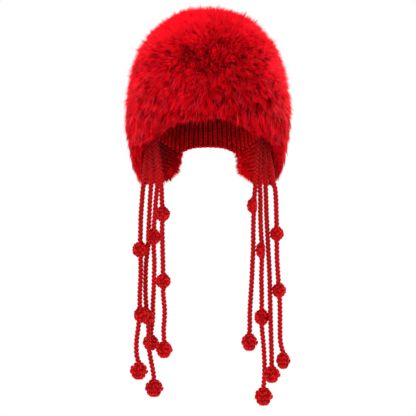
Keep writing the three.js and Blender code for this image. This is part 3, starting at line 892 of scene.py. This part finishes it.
def under_pile(spacing, draws):
    """Strands on the underside of the pile, which stand in its shade, and round the edges of the
    flaps, where that side stands nearly upright and the pile hangs down."""
    angles = np.linspace(0, 360, 3601)
    lengths = lengths_along(rim_strip(angles, np.full(len(angles), 0.5)))
    count = int(lengths[-1] * UNDER_WIDTH / spacing ** 2)
    place = (np.arange(count) + draws.random(count)) * lengths[-1] / count
    angle = np.interp(place, lengths, angles)
    share = draws.random(count)
    along = unit(rim_strip(angle + 0.2, share) - rim_strip(angle - 0.2, share))
    across = rim_strip(angle, np.ones(count)) - rim_strip(angle, np.zeros(count))
    normal = unit(np.cross(unit(across), along))
    steep = np.clip(STEEPNESS * (1 - np.abs(normal[:, 2])), 0, 1)
    retreat = RETREAT * (1 - steep) + REAR_RETREAT * (from_front(angle) > REAR_ANGLE)
    inwards = UNDER_SPREAD * (0.5 - share)[:, None] * across
    # Painted shade where the underside faces down keeps those tips darker; on steep edges the tips
    # are painted light and pale, partly a painted sheen.
    return strands_with(
        rim_strip(angle, share) - retreat[:, None] * normal,
        normal=unit(UNDER_LENGTH * normal - inwards),
        flow=unit(normal * normal[:, 2:] - (0.0, 0.0, 1.0)),
        angle=angle, room=1.0, reach=UNDER_SHADE + (1 - UNDER_SHADE) * steep, pale=steep,
        lean=UNDER_LEAN * steep, length=UNDER_LENGTH, draw=UNDER_DRAW,
    )


def inner_pile(spacing, draws):
    """Strands on the inner side of the pile where it hangs below the knit: under the band in
    front, and as a short nap round the lower and rear edges of the flaps."""
    angle = draws.uniform(0, 360, int(INNER_AREA / spacing ** 2))
    height = draws.uniform(*INNER_HEIGHTS, len(angle))
    aside, right = from_front(angle), angle < 180
    rear = np.where(right, FLAP_REAR_ANGLE["right"], FLAP_REAR_ANGLE["left"])
    knit_edge, fur_edge = edge_height("band_rim", angle), edge_height("fur_rim", angle)
    on_flap = (aside > FLAP_FRONT_ANGLE - NAP_ANGLE) & (aside < rear)
    at_edge = (aside > rear - NAP_ANGLE) | (aside < FLAP_FRONT_ANGLE + NAP_ANGLE)
    at_edge &= height < knit_edge - NAP_DROP
    hem = np.minimum(knit_edge, fur_edge + FLAP_HEM + NAP_RISE)
    highest = np.where(on_flap & ~at_edge, hem, knit_edge)
    lowest = np.where(on_flap, fur_edge + EDGE_MARGIN, under_height(angle) - EDGE_MARGIN)
    at_slit = on_flap & (aside < FLAP_FRONT_ANGLE + NAP_SLIT_ANGLE)
    outwards = np.where(at_slit, draws.uniform(0, NAP_SLIT, len(angle)), 0.0)
    # Near the flaps' front and rear edges the nap lies towards those edges.
    sideways = ramp(aside, rear - 3 * NAP_ANGLE, rear - 2 * NAP_ANGLE)
    sideways -= on_flap * ramp(
        aside, FLAP_FRONT_ANGLE + 2 * NAP_ANGLE, FLAP_FRONT_ANGLE + NAP_ANGLE
    )
    sideways *= np.where(right, 1.0, -1.0)
    kept = (height < highest) & (height > lowest)
    angle, height, sideways, on_flap, outwards = (
        values[kept] for values in (angle, height, sideways, on_flap, outwards)
    )
    station = station_at("knit", height)
    outward, around, down = crown_frame("knit", angle, station)
    return strands_with(
        crown_point("knit", angle, station, outwards - NAP_PROUD * on_flap),
        normal=-outward, flow=unit(down + sideways[:, None] * around), angle=angle,
        room=pile_depth(angle, height) + INNER_ROOM, draw=INNER_DRAW,
        start=np.where(on_flap, NAP_START, 0.0),
        reach=np.where(on_flap, NAP_REACH, FRONT_REACH),
        lean=np.where(on_flap, NAP_LEAN, FRONT_LEAN),
        length=np.where(on_flap, NAP_LENGTH, FRONT_LENGTH),
    )


def nearest(points, centres):
    """The number of the nearest centre to each point."""
    tree = kdtree.KDTree(len(centres))
    for number, centre in enumerate(centres.tolist()):
        tree.insert(centre, number)
    tree.balance()
    return np.array([tree.find(point)[1] for point in points.tolist()])


def pile_levels(settings, draws):
    """Every strand of the pile, and for each level of gathering, from single strands up to
    locks, its tips and which of them each strand belongs to."""
    spacings = {
        "strand": settings.strand_spacing, "wisp": settings.wisp_spacing,
        "tuft": settings.tuft_spacing, "lock": settings.lock_spacing,
    }
    made = {
        level: gathered([make(spacing, draws) for make in (outer_pile, under_pile, inner_pile)])
        for level, spacing in spacings.items()
    }
    member = np.arange(len(made["strand"]["tip"]))
    groups = {"strand": (made["strand"]["tip"], member)}
    for fine, coarse in (("strand", "wisp"), ("wisp", "tuft"), ("tuft", "lock")):
        member = nearest(made[fine]["tip"], made[coarse]["tip"])[member]
        groups[coarse] = (made[coarse]["tip"], member)
    return made["strand"], groups


def drawn(draws, spreads, groups, *size):
    """The sum of normal draws, one for each member of each level, for each strand."""
    total = 0.0
    for level, spread in spreads.items():
        tips, member = groups[level]
        total = total + draws.normal(0, spread, (len(tips), *size))[member]
    return total


def root_depths(tips, lengths, headings):
    """How deep each root lies inside the pile: below its surface, or above its rim if less."""
    roots = tips - lengths[:, None] * headings
    angle = np.degrees(np.arctan2(roots[:, 0], -roots[:, 1]))
    surface = crown_point("fur", angle, station_at("fur", roots[:, 2]))
    cover = np.linalg.norm(surface[:, :2], axis=1) - np.linalg.norm(roots[:, :2], axis=1)
    return np.minimum(cover, roots[:, 2] - edge_height("fur_rim", angle))


def strand_courses(settings, strands, groups, draws):
    """Length and heading of each strand and the depth of its root. A strand whose root would
    show is straightened, and halved if that doesn't hide it."""
    length = strands["length"] * draws.uniform(*LENGTH_SHARES, len(strands["tip"]))
    lean = np.radians(strands["lean"])
    room = np.maximum(strands["room"] - ROOM_MARGIN, LEAST_ROOM) / (length * np.cos(lean))
    upright = np.cos(lean) * np.minimum(room, 1)
    straight = upright[:, None] * strands["normal"] + np.sin(lean)[:, None] * strands["flow"]
    sway = drawn(draws, {
        "strand": settings.strand_sway, "wisp": settings.wisp_sway,
        "tuft": settings.tuft_sway, "lock": settings.lock_sway,
    }, groups, 3)
    sway -= (sway * strands["normal"]).sum(1, keepdims=True) * strands["normal"]
    share = INNER_SWAY + (1 - INNER_SWAY) * strands["outer"]
    sway *= ((1 - strands["calm"]) * share)[:, None]
    front = np.clip(np.cos(np.radians(strands["angle"])), 0, 1) * strands["outer"]
    heading = unit(straight + sway + front[:, None] * np.array([-settings.parting, 0, 0]))
    bare = root_depths(strands["tip"], length, heading) < ROOT_COVER
    heading[bare] = unit(straight[bare])
    bare &= root_depths(strands["tip"], length, heading) < ROOT_COVER
    length = np.where(bare, 0.5 * length, length)
    return length, heading, root_depths(strands["tip"], length, heading)


def spikes(tip, length, heading, pull, stray, settings, draws):
    """Triangles of one spike, its corners for each strand, bent towards the tip by the strand's
    pull, and how far along it each corner is."""
    corners, triangles = strand_pattern()
    place = corners[:, 2]
    centres = tip[:, None] - (length[:, None] * (1 - place))[:, :, None] * heading[:, None]
    centres += place[None, :, None] * pull[:, None]
    side = unit(np.cross(heading, draws.normal(0, 1, tip.shape)))
    other = np.cross(heading, side)
    width = settings.strand_width / 2 * draws.uniform(*WIDTH_SHARES, len(tip))
    width *= np.where(stray, STRAY_WIDTH, 1.0)
    ring = corners[None, :, :1] * side[:, None] + corners[None, :, 1:2] * other[:, None]
    return triangles, centres + width[:, None, None] * ring, place[None]


def pile_strands(settings):
    """Triangles of a strand, and for each strand its corners, its angle round the head, and
    what its colour follows."""
    draws = np.random.default_rng(settings.seed)
    strands, groups = pile_levels(settings, draws)
    length, heading, depth = strand_courses(settings, strands, groups, draws)
    count = len(length)
    outer, calm = strands["outer"], 1 - strands["calm"]

    stray = draws.random(count) < STRAY_SHARE_OUTSIDE * outer + STRAY_SHARE
    proud = PROUD + drawn(draws, PROUD_SPREAD, groups)
    proud += np.where(stray, draws.uniform(*STRAY_PROUD, count), 0.0)
    proud *= np.where(outer > 0, 1.0, INNER_PROUD)
    proud = np.minimum(proud, np.maximum(depth - ROOT_COVER, 0))
    ahead = drawn(draws, AHEAD_SPREAD, groups) * (calm * strands["ragged"])
    tip = strands["tip"] + proud[:, None] * strands["normal"] + ahead[:, None] * strands["flow"]

    pull = np.zeros((count, 3))
    wisp_share = calm * (INNER_WISPS + (1 - INNER_WISPS) * outer)
    for level, draw, spacing in (
        ("wisp", settings.wisp_draw * wisp_share, settings.wisp_spacing),
        ("tuft", strands["draw"], settings.tuft_spacing),
    ):
        tips, member = groups[level]
        to_centre = tips[member] - strands["tip"]
        distance = np.maximum(np.linalg.norm(to_centre, axis=1), 1e-9)
        share = np.where(stray, 0.0, draw * np.clip(spacing / distance, 0, 1))
        pull += share[:, None] * to_centre
    triangles, places, place = spikes(tip, length, heading, pull, stray, settings, draws)

    tone = np.clip(0.5 + calm * drawn(draws, TONE_SPREAD, groups), 0, 1)
    # Painted light and shade on each strand: roots that lie shallow are painted lighter, and start
    # and reach set how light its root and tip are painted.
    shallow = SHALLOW_START * (1 - np.clip((depth - proud) / DARK_DEPTH, 0, 1)) * outer
    start, reach = np.maximum(strands["start"], shallow)[:, None], strands["reach"][:, None]
    is_pale = draws.random(count) < PALE_SHARE
    pale = strands["pale"] * np.where(is_pale, draws.uniform(*PALE_STRENGTHS, count), 0.0)
    kept = (depth > ROOT_COVER) | (strands["start"] > 0)
    values = {"along": start + place * (reach - start), "tone": tone, "pale": pale}
    values = {key: value[kept] for key, value in values.items()}
    return triangles, places[kept], strands["angle"][kept], values


def pile_backing(settings):
    """The dense underfur, in painted shade: a closed wall from below the tips to just outside the
    knit.
    """
    def place(angle, row):
        outer_end, inner_start = 0.5, 0.6
        beside = np.stack([angle - BACKING_BESIDE, angle, angle + BACKING_BESIDE])
        rim = edge_height("fur_rim", beside).max(axis=0)
        outer_rim = station_at("fur", rim + BACKING_HEM)
        inner_rim = station_at("knit", np.maximum(rim, under_height(angle)) + BACKING_HEM)
        outer = crown_point(
            "fur", angle, outer_rim * ramp(row, 0, outer_end), -settings.backing_depth
        )
        inner = crown_point(
            "knit", angle, inner_rim * ramp(row, 1, inner_start), KNIT_WALL + PILE_CLEARANCE
        )
        share = ramp(row, outer_end, inner_start)[:, None]
        return outer * (1 - share) + inner * share

    wall = closed_wall("fur_backing", 120, 60, place)
    # Painted shade: the underfur is coloured partway from the dark root colour to the body, as deep
    # pile in shade.
    set_values(wall, along=0.3, tone=0.5, pale=0.0)
    return wall


# Rib knit

def along_line(points, pitch):
    """Places a pitch apart along a line of points, as numbers of its points with fractions."""
    lengths = lengths_along(points)
    return np.interp(np.arange(pitch / 2, lengths[-1], pitch), lengths, np.arange(len(points)))


def leg_pattern():
    """One leg of a stitch: a small closed bead, one long each way, its length along +Z."""
    bead = bmesh.new()
    bmesh.ops.create_uvsphere(bead, u_segments=6, v_segments=3, radius=1.0)
    return pattern_of(bead)


def beads(points, lengthwise, across, outward, sizes):
    """Corners of one bead at each point, with its half length, half width and half thickness."""
    corners, triangles = leg_pattern()
    sizes = np.broadcast_to(sizes, (len(points), 3))
    return triangles, points[:, None] + (
        corners[None, :, 2, None] * (sizes[:, 0, None] * lengthwise)[:, None]
        + corners[None, :, 0, None] * (sizes[:, 1, None] * across)[:, None]
        + corners[None, :, 1, None] * (sizes[:, 2, None] * outward)[:, None]
    )


def knit_stitches(points, down, across, outward, width, pitch, yarn):
    """Both legs of a V stitch at each point, its tip pointing down."""
    lean = math.radians(LEG_LEAN)
    copies = []
    for way in (-1, 1):
        along = -math.cos(lean) * down + way * math.sin(lean) * across
        beside = np.cross(along, outward)
        centre = points + way * LEG_SPREAD * width[:, None] * across
        sizes = np.stack([LEG_LENGTH * pitch, yarn, yarn * YARN_DEPTH], axis=-1)
        copies.append(beads(centre, along, beside, outward, sizes))
    return copies[0][0], np.concatenate([places for _, places in copies])


def lining_stitches(settings):
    """Stitches on every rib of the lining, rib by rib from the rim up, thinned out where the
    ribs meet at the crown, and the share of light that reaches each."""
    ribs = {"angle": [], "station": [], "keep": []}
    for rib in range(RIB_COUNT):
        angle = (rib + 0.5) * 360 / RIB_COUNT
        first = station_at("knit", edge_height("band_rim", angle))
        stations = np.linspace(first, LAST_STITCH, 500)
        where = along_line(crown_point("knit", angle, stations), settings.stitch_pitch)
        rows = np.interp(where, np.arange(len(stations)), stations)
        half_width, half_depth, _ = section("knit", rows)
        rib_pitch = math.pi * (half_width + half_depth) / RIB_COUNT
        keep = 2 ** np.ceil(np.log2(np.maximum(LEAST_RIB_PITCH / rib_pitch, 1)))
        kept = rib % keep == 0
        ribs["angle"].append(np.full(kept.sum(), angle))
        ribs["station"].append(rows[kept])
        ribs["keep"].append((rib_pitch * keep)[kept])
    angle, station, room = (np.concatenate(ribs[key]) for key in ("angle", "station", "keep"))
    outward, around, down = crown_frame("knit", angle, station)
    width = np.minimum(settings.rib_width, room * RIB_SHARE)
    yarn = settings.yarn_width / 2 * width / settings.rib_width
    points = crown_point("knit", angle, station, -STITCH_INSET)
    above_rim = points[:, 2] - edge_height("band_rim", angle)
    # Painted shade: stitches higher inside the crown are darker, as less light reaches in there.
    lit = 1 - INSIDE_SHADE * ramp(above_rim, 0, INSIDE_SHADE_RISE)
    pitch = np.full(len(angle), settings.stitch_pitch)
    triangles, places = knit_stitches(points, down, around, -outward, width, pitch, yarn)
    return triangles, places, np.tile(lit, 2)


def joined_stitches(name, triangles, places, draws, depth=1.0):
    """Beads as one mesh, each with its own tone and with the light painted on it as shade, in its
    depth attribute.
    """
    tone = np.clip(draws.normal(0.5, STITCH_TONES, len(places)), 0, 1)
    return joined_copies(name, triangles, places, tone=tone, depth=np.zeros(len(places)) + depth)


def make_lining(settings):
    """The wall of the lining, its ribs in V stitches, and the cast-on edge round its rim."""
    draws = np.random.default_rng(11)

    def place(angle, row):
        outer_end, inner_start = 0.48, 0.52
        rim = station_at("knit", edge_height("band_rim", angle))
        outer = crown_point("knit", angle, rim * ramp(row, 0, outer_end), KNIT_WALL)
        station = rim * ramp(row, 1, inner_start)
        ribbing = RIB_RELIEF * np.cos(np.radians(angle * RIB_COUNT)) * ramp(station, 0, RIB_FADE)
        inner = crown_point("knit", angle, station, ribbing + INNER_FACE)
        return np.where((row > 0.5)[:, None], inner, outer)

    wall = closed_wall("wall", RIB_COUNT * 4, 51, place)
    # Painted shade: the wall behind the stitches is in the shade colour all over.
    set_values(wall, depth=0.0, tone=0.5)
    triangles, places, lit = lining_stitches(settings)
    stitches = joined_stitches("stitches", triangles, places, draws, lit)
    angle = (np.arange(RIB_COUNT) + 0.5) * 360 / RIB_COUNT
    station = station_at("knit", edge_height("band_rim", angle) + CAST_ON_RISE)
    outward, around, down = crown_frame("knit", angle, station)
    points = crown_point("knit", angle, station, CAST_ON_OUT)
    cast_on = beads(points, around, outward, down, CAST_ON_BEAD)
    edge = joined_stitches("edge", *cast_on, draws)
    return joined("knit_lining", wall, stitches, edge)


def on_flap(side, angle, height):
    """Middles of stitches on an ear flap's inner face."""
    station = station_at("knit", height)
    return crown_point("knit", SIDES[side] * angle, station, -STITCH_INSET)


def flap_row(side, angle, height, width, settings):
    """One column of V stitches along a line on an ear flap's inner face."""
    line = on_flap(side, angle, height)
    number = np.arange(len(angle))
    where = along_line(line, settings.stitch_pitch)
    angle, height, width = (np.interp(where, number, v) for v in (angle, height, width))
    points = on_flap(side, angle, height)
    behind, ahead = (
        np.stack([np.interp(where + step, number, line[:, i]) for i in range(3)], axis=-1)
        for step in (-0.5, 0.5)
    )
    outward, _, _ = crown_frame("knit", SIDES[side] * angle, station_at("knit", height))
    along = unit(ahead - behind)
    across = unit(np.cross(outward, along))
    yarn = settings.yarn_width / 2 * width / settings.rib_width
    legs = LEAST_LEG + (1 - LEAST_LEG) * width / settings.rib_width
    pitch = settings.stitch_pitch * legs
    return knit_stitches(points, along, across, -outward, width, pitch, yarn)


def make_flap(side, settings):
    """The knit face of one ear flap: its ribs run round the head, the upper ones in line with
    the seam, and flatten out towards its rear edge."""
    draws = np.random.default_rng(20 + SIDES[side])
    front, rear = FLAP_FRONT_ANGLE, FLAP_REAR_ANGLE[side]
    middle, half = (front + rear) / 2, (rear - front) / 2

    slab = bmesh.new()
    bmesh.ops.create_grid(slab, x_segments=36, y_segments=24, size=0.5)
    thick = bmesh.ops.extrude_face_region(slab, geom=slab.faces[:], use_keep_orig=True)
    lifted = [item for item in thick["geom"] if isinstance(item, bmesh.types.BMVert)]
    bmesh.ops.translate(slab, vec=(0, 0, 1), verts=lifted)
    grid = corner_array(slab) + (0.5, 0.5, 0)
    angle = middle - half * np.cos(math.pi * grid[:, 0])
    offset = INNER_FACE + (KNIT_WALL - INNER_FACE) * grid[:, 2]
    placed(flap_point(side, angle, grid[:, 1], offset), slab)
    bmesh.ops.remove_doubles(slab, verts=slab.verts, dist=1e-6)
    wall = finished_mesh("wall", slab)
    # Painted shade: the wall behind the stitches is in the shade colour all over.
    set_values(wall, depth=0.0, tone=0.5)

    angle = middle - half * np.cos(np.linspace(0, math.pi, FLAP_POINTS))
    top, bottom = flap_ends(angle)
    seam_drop = top - top.max()
    width = settings.rib_width * np.linspace(*FLAP_RIB_WIDTHS, len(angle))
    rows = []
    for rib in range(settings.flap_ribs + 1):
        level = 1 - rib / settings.flap_ribs
        height = top.max() + seam_drop * level - (rib + 0.5) * FLAP_RIB_PITCH
        inside = (height > bottom + FLAP_BORDER) & (angle < rear - FLAP_REAR_BORDER)
        if inside.sum() > LEAST_ROW:
            rows.append(flap_row(side, angle[inside], height[inside], width[inside], settings))
    triangles = rows[0][0]
    places = np.concatenate([row[1] for row in rows])
    below_band = top.max() - places[:, :, 2].mean(axis=1)
    # Painted light and shade: a flap's stitches are darker near the band, and the left flap is
    # darker than the right.
    lit = np.interp(below_band, (0, FLAP_LIGHT_DROP), FLAP_LIGHT[side])
    stitches = joined_stitches("stitches", triangles, places, draws, lit)
    return joined(f"ear_flap_{side}", wall, stitches)


# Ties

def tie_line(route, step):
    """A tie's centreline, smooth through its route's points, in even steps, and its length."""
    route = np.array(route)
    chord = lengths_along(route)
    fine = np.linspace(0, chord[-1], 4000)
    line = np.stack([spline(chord, route[:, i], fine) for i in range(3)], axis=-1)
    lengths = lengths_along(line)
    even = np.linspace(0, lengths[-1], max(2, round(lengths[-1] / step)) + 1)
    return np.stack([np.interp(even, lengths, line[:, i]) for i in range(3)], axis=-1), even


def line_frame(line):
    """Directions along a hanging line, to its side in the view from the front, and forwards."""
    along = unit(np.gradient(line, axis=0))
    side = unit(np.cross(along, (0.0, 1.0, 0.0)))
    return along, side, np.cross(along, side)


def swept_tube(line, radius):
    """A closed round tube along a line of points."""
    tube = bmesh.new()
    bmesh.ops.create_grid(tube, x_segments=len(line) - 1, y_segments=STRAND_SIDES, size=0.5)
    grid = corner_array(tube)[:, :2] + 0.5
    number = np.rint(grid[:, 0] * (len(line) - 1)).astype(int)
    turn = 2 * math.pi * grid[:, 1, None]
    _, side, ahead = line_frame(line)
    rim = np.cos(turn) * side[number] + np.sin(turn) * ahead[number]
    placed(line[number] + radius * rim, tube)
    bmesh.ops.remove_doubles(tube, verts=tube.verts, dist=1e-6)
    bmesh.ops.holes_fill(tube, edges=tube.edges, sides=STRAND_SIDES)
    return finished_mesh("strand", tube)


def make_tie(name, settings, draws):
    """A flat plait of three strands of yarn along the tie's centreline."""
    line, length = tie_line(TIE_ROUTES[name], TIE_STEP)
    tucked = line[-1] + (line[-1] - line[-2]) * np.arange(1, TUCKED_STEPS + 1)[:, None]
    measured = length[-1]
    line = np.concatenate([line, tucked])
    length = np.arange(len(line)) * length[1]
    _, side, ahead = line_frame(line)
    reach = (settings.plait_width - settings.strand_width) / 2
    phase = 2 * math.pi * length / settings.plait_pitch + draws.uniform(0, 2 * math.pi)
    strands = []
    for strand in range(3):
        turn = (phase + strand * 2 * math.pi / 3)[:, None]
        sideways = (np.sin(turn) - PLAIT_CORNER * np.sin(3 * turn)) / (1 + PLAIT_CORNER)
        forwards = PLAIT_DEPTH * np.sin(2 * turn)
        path = line + reach * (sideways * side + forwards * ahead)
        mesh = swept_tube(path, settings.strand_width / 2)
        corners = np.array([vert.co[:] for vert in mesh.vertices])
        number = nearest(corners, path)
        # Painted shade: the strands are darker at the plait's sides, where they turn behind, and
        # the whole tie is darker under the pile's rim, a painted shadow.
        to_front = np.abs(((corners - line[number]) * ahead[number]).sum(1))
        depth = np.clip(to_front / (reach * PLAIT_DEPTH + settings.strand_width / 2), 0, 1) ** 2
        depth = EDGE_SHADE + (1 - EDGE_SHADE) * depth
        depth *= np.interp(-corners[:, 2], [-height for height in TIE_LIGHT_HEIGHTS], TIE_LIGHT)
        set_values(mesh, tone=draws.uniform(*STRAND_TONES), depth=depth)
        strands.append(mesh)
    return joined(name, *strands), line, measured


# Bobbles

def bobble_point(bobble, centre, polar, around, proud=0.0):
    """Points on a bobble. A dome's pole faces outwards and a bud's faces up."""
    petals = 1 + PETAL_RELIEF * np.cos(PETALS * around)
    pole = np.cos(polar)
    if bobble["form"] == "dome":
        share = np.where(pole > 0, 1 - DOME_BACK_SHARE, DOME_BACK_SHARE)
        across = np.sin(polar) * np.cos(around) * petals * (bobble["width"] / 2 + proud)
        up = np.sin(polar) * np.sin(around) * petals * (bobble["height"] / 2 + proud)
        ahead = pole * (bobble["depth"] * share + proud)
    else:
        waist = BUD_WAIST * np.exp(-(((pole + BUD_WAIST_DROP) / BUD_WAIST_BAND) ** 2))
        girth = petals * (1 - waist) * np.sin(polar)
        across = np.cos(around) * girth * (bobble["width"] / 2 + proud)
        ahead = -np.sin(around) * girth * (bobble["depth"] / 2 + proud)
        up = pole * (bobble["height"] / 2 + proud)
    turn = math.radians(bobble["facing"])
    return centre + np.stack([
        across * math.cos(turn) - ahead * math.sin(turn),
        -across * math.sin(turn) - ahead * math.cos(turn),
        up,
    ], axis=-1)


def make_bobble(bobble, centre, settings, draws):
    """A stuffed ball covered in rings of crochet stitches that lean to and fro."""
    ball = bmesh.new()
    bmesh.ops.create_uvsphere(ball, u_segments=20, v_segments=12, radius=1.0)
    unit_ball = corner_array(ball)
    polar = np.arccos(np.clip(unit_ball[:, 2], -1, 1))
    around = np.arctan2(unit_ball[:, 1], unit_ball[:, 0])
    placed(bobble_point(bobble, centre, polar, around, -CORE_INSET), ball)
    core = finished_mesh("core", ball)
    # Painted shade: the core under the loops is coloured halfway to the shade colour.
    set_values(core, depth=CORE_SHADE, tone=0.5)

    radius = (bobble["width"] + bobble["height"]) / 4
    polars, arounds, leans, prouds = [], [], [], []
    for ring, (ring_angle, petals) in enumerate(PETAL_RINGS[bobble["form"]]):
        ring_polar = math.radians(ring_angle)
        for petal in range(petals):
            middle = 2 * math.pi * (petal + 0.5 * (ring % 2)) / petals
            middle += draws.uniform(-PETAL_SHIFT, PETAL_SHIFT)
            turned = draws.uniform(-PETAL_TURN, PETAL_TURN)
            for loop in (-1, 0, 1):
                spread = loop * settings.loop_pitch / (radius * max(math.sin(ring_polar), 0.3))
                arounds.append(middle + spread)
                shift = draws.uniform(-LOOP_SHIFT, LOOP_SHIFT)
                polars.append(ring_polar + shift + LOOP_DROP * abs(loop))
                leans.append(math.radians(90 + turned - LOOP_FAN * loop))
                prouds.append(-LOOP_SINK - OUTER_LOOP_SINK * abs(loop))
    polar, around, lean, proud = (np.array(values) for values in (polars, arounds, leans, prouds))
    points = bobble_point(bobble, centre, polar, around, proud)
    by_ring, by_pole = (
        unit(
            bobble_point(bobble, centre, polar + down, around + turn)
            - bobble_point(bobble, centre, polar - down, around - turn)
        )
        for down, turn in ((0.0, 0.02), (0.02, 0.0))
    )
    outward = unit(np.cross(by_ring, by_pole))
    outward *= np.sign((outward * (points - centre)).sum(-1, keepdims=True))
    along = np.cos(lean)[:, None] * by_ring + np.sin(lean)[:, None] * by_pole
    sizes = (settings.loop_length / 2, *(settings.loop_pitch * share for share in LOOP_SHARES))
    triangles, places = beads(points, along, np.cross(outward, along), outward, sizes)
    return joined(bobble["name"], core, joined_stitches("stitches", triangles, places, draws))


# Operators

class HAT_OT_stage(bpy.types.Operator):
    """Camera, soft studio light and a plain pale floor"""

    bl_idname = "hat.stage"
    bl_label = "Stage"

    def execute(self, context):
        settings = context.scene.hat_stage
        scene = context.scene
        scene.view_settings.view_transform = "Standard"
        camera = bpy.data.cameras.new("camera")
        camera.sensor_width = 36.0
        camera.lens = camera.sensor_width * settings.camera_distance / settings.frame_width
        viewer = bpy.data.objects.new("camera", camera)
        viewer.location = (0, -settings.camera_distance, settings.camera_height)
        viewer.rotation_euler = (math.radians(90), 0, 0)
        scene.collection.objects.link(viewer)
        scene.camera = viewer

        for name, place, size, power in SOFTBOXES:
            softbox = bpy.data.lights.new(name, "AREA")
            softbox.shape = "DISK"
            softbox.size = size
            softbox.energy = power * settings.softbox_power
            lamp = bpy.data.objects.new(name, softbox)
            lamp.location = place
            heading = LIGHT_AIM - lamp.location
            lamp.rotation_euler = heading.to_track_quat("-Z", "Y").to_euler()
            scene.collection.objects.link(lamp)

        world = bpy.data.worlds.new("studio")
        world.use_nodes = True
        tree = world.node_tree
        tree.nodes.clear()
        seen = add_node(tree, "ShaderNodeLightPath").outputs["Is Camera Ray"]
        strength = add_node(tree, "ShaderNodeMapRange", {
            "Value": seen, "To Min": settings.surround, "To Max": 1.0,
        })
        surround = add_node(tree, "ShaderNodeBackground", {
            "Color": (1.0, 1.0, 1.0, 1.0), "Strength": strength.outputs["Result"],
        })
        add_node(tree, "ShaderNodeOutputWorld", {"Surface": surround.outputs["Background"]})
        scene.world = world

        paper = bmesh.new()
        bmesh.ops.create_grid(paper, x_segments=8, y_segments=8, size=2.5)
        bmesh.ops.translate(paper, vec=(0, 0, settings.floor_height), verts=paper.verts)
        mesh = finished_mesh("floor", paper)
        mesh.materials.append(studio_paper())
        floor = bpy.data.objects.new("floor", mesh)
        scene.collection.objects.link(floor)
        return {"FINISHED"}


class HAT_OT_ties(bpy.types.Operator):
    """Eight plaited ties and the crocheted bobbles on them"""

    bl_idname = "hat.ties"
    bl_label = "Ties and bobbles"

    def execute(self, context):
        ties, bobbles = context.scene.hat_ties, context.scene.hat_bobbles
        tie_yarn = wool_yarn("plaited_wool", ties)
        bobble_yarn = wool_yarn("crocheted_wool", bobbles)
        rows = [dict(zip(BOBBLE_COLUMNS, row)) for row in BOBBLES]
        for number, name in enumerate(TIE_ROUTES):
            draws = np.random.default_rng(100 + number)
            mesh, line, length = make_tie(name, ties, draws)
            tie = add_piece(f"plaited_{name}", mesh, tie_yarn, "tie_yarn", name)
            for bobble in (row for row in rows if row["tie"] == name):
                if bobble["form"] == "dome":
                    centre = line[np.argmin(np.abs(line[:, 2] - bobble["z"]))]
                    centre = centre + (BOBBLES_ASIDE.get(bobble["name"], 0.0), 0, 0)
                else:
                    centre = line[-1 - TUCKED_STEPS] - (0, 0, GAP + bobble["height"] / 2)
                ball = make_bobble(bobble, centre, bobbles, draws)
                piece = f"crocheted_{bobble['name']}"
                add_piece(piece, ball, bobble_yarn, "bobble_yarn", bobble["name"])
        return {"FINISHED"}


class HAT_OT_knit(bpy.types.Operator):
    """The rib-knit lining and the knit faces of the ear flaps"""

    bl_idname = "hat.knit"
    bl_label = "Knit"

    def execute(self, context):
        settings = context.scene.hat_knit
        yarn = wool_yarn("rib_knit_wool", settings)
        add_piece("rib_knit_lining", make_lining(settings), yarn, "rib_knit", "knit_lining")
        for side in SIDES:
            flap = make_flap(side, settings)
            add_piece(f"rib_knit_flap_{side}", flap, yarn, "rib_knit", f"ear_flap_{side}")
        return {"FINISHED"}


class HAT_OT_fur(bpy.types.Operator):
    """The deep pile: a dense backing and its strands, in one piece for each quarter round"""

    bl_idname = "hat.fur"
    bl_label = "Pile"

    def execute(self, context):
        settings = context.scene.hat_fur
        fur = dyed_fur(settings)
        add_piece("fur_backing", pile_backing(settings), fur, "fur_pile", "fur_cover")
        triangles, places, angle, values = pile_strands(settings)
        quarter = ((angle + 45) % 360 // 90).astype(int)
        for number, name in enumerate(("front", "right", "back", "left")):
            chosen = quarter == number
            mesh = joined_copies(
                f"fur_{name}", triangles, places[chosen],
                **{key: value[chosen] for key, value in values.items()},
            )
            add_piece(f"fur_{name}", mesh, fur, "fur_pile", "fur_cover")
        return {"FINISHED"}


class HAT_PT_panel(bpy.types.Panel):
    """Settings and steps of the hat"""

    bl_idname = "HAT_PT_panel"
    bl_label = "Fur Earflap Hat"
    bl_space_type = "VIEW_3D"
    bl_region_type = "UI"
    bl_category = "Hat"

    def draw(self, context):
        for group, operator in STEPS:
            settings = getattr(context.scene, group)
            box = self.layout.box()
            for name in settings.bl_rna.properties.keys():
                if name not in ("rna_type", "name"):
                    box.prop(settings, name)
            if operator:
                box.operator(operator)


STEPS = (
    ("hat_stage", "hat.stage"),
    ("hat_bobbles", None),
    ("hat_ties", "hat.ties"),
    ("hat_knit", "hat.knit"),
    ("hat_fur", "hat.fur"),
)
GROUPS = {
    "hat_stage": StageSettings,
    "hat_bobbles": BobbleSettings,
    "hat_ties": TieSettings,
    "hat_knit": KnitSettings,
    "hat_fur": FurSettings,
}
CLASSES = (
    *GROUPS.values(), HAT_OT_stage, HAT_OT_ties, HAT_OT_knit, HAT_OT_fur, HAT_PT_panel
)


def register():
    """Makes the settings and steps known to Blender."""
    for cls in CLASSES:
        bpy.utils.register_class(cls)
    for name, group in GROUPS.items():
        setattr(bpy.types.Scene, name, PointerProperty(type=group))


def unregister():
    """Takes them away again."""
    for name in GROUPS:
        delattr(bpy.types.Scene, name)
    for cls in reversed(CLASSES):
        bpy.utils.unregister_class(cls)


def main():
    """Builds the whole hat."""
    register()
    bpy.ops.hat.stage()
    bpy.ops.hat.ties()
    bpy.ops.hat.knit()
    bpy.ops.hat.fur()


if __name__ == "__main__":
    main()
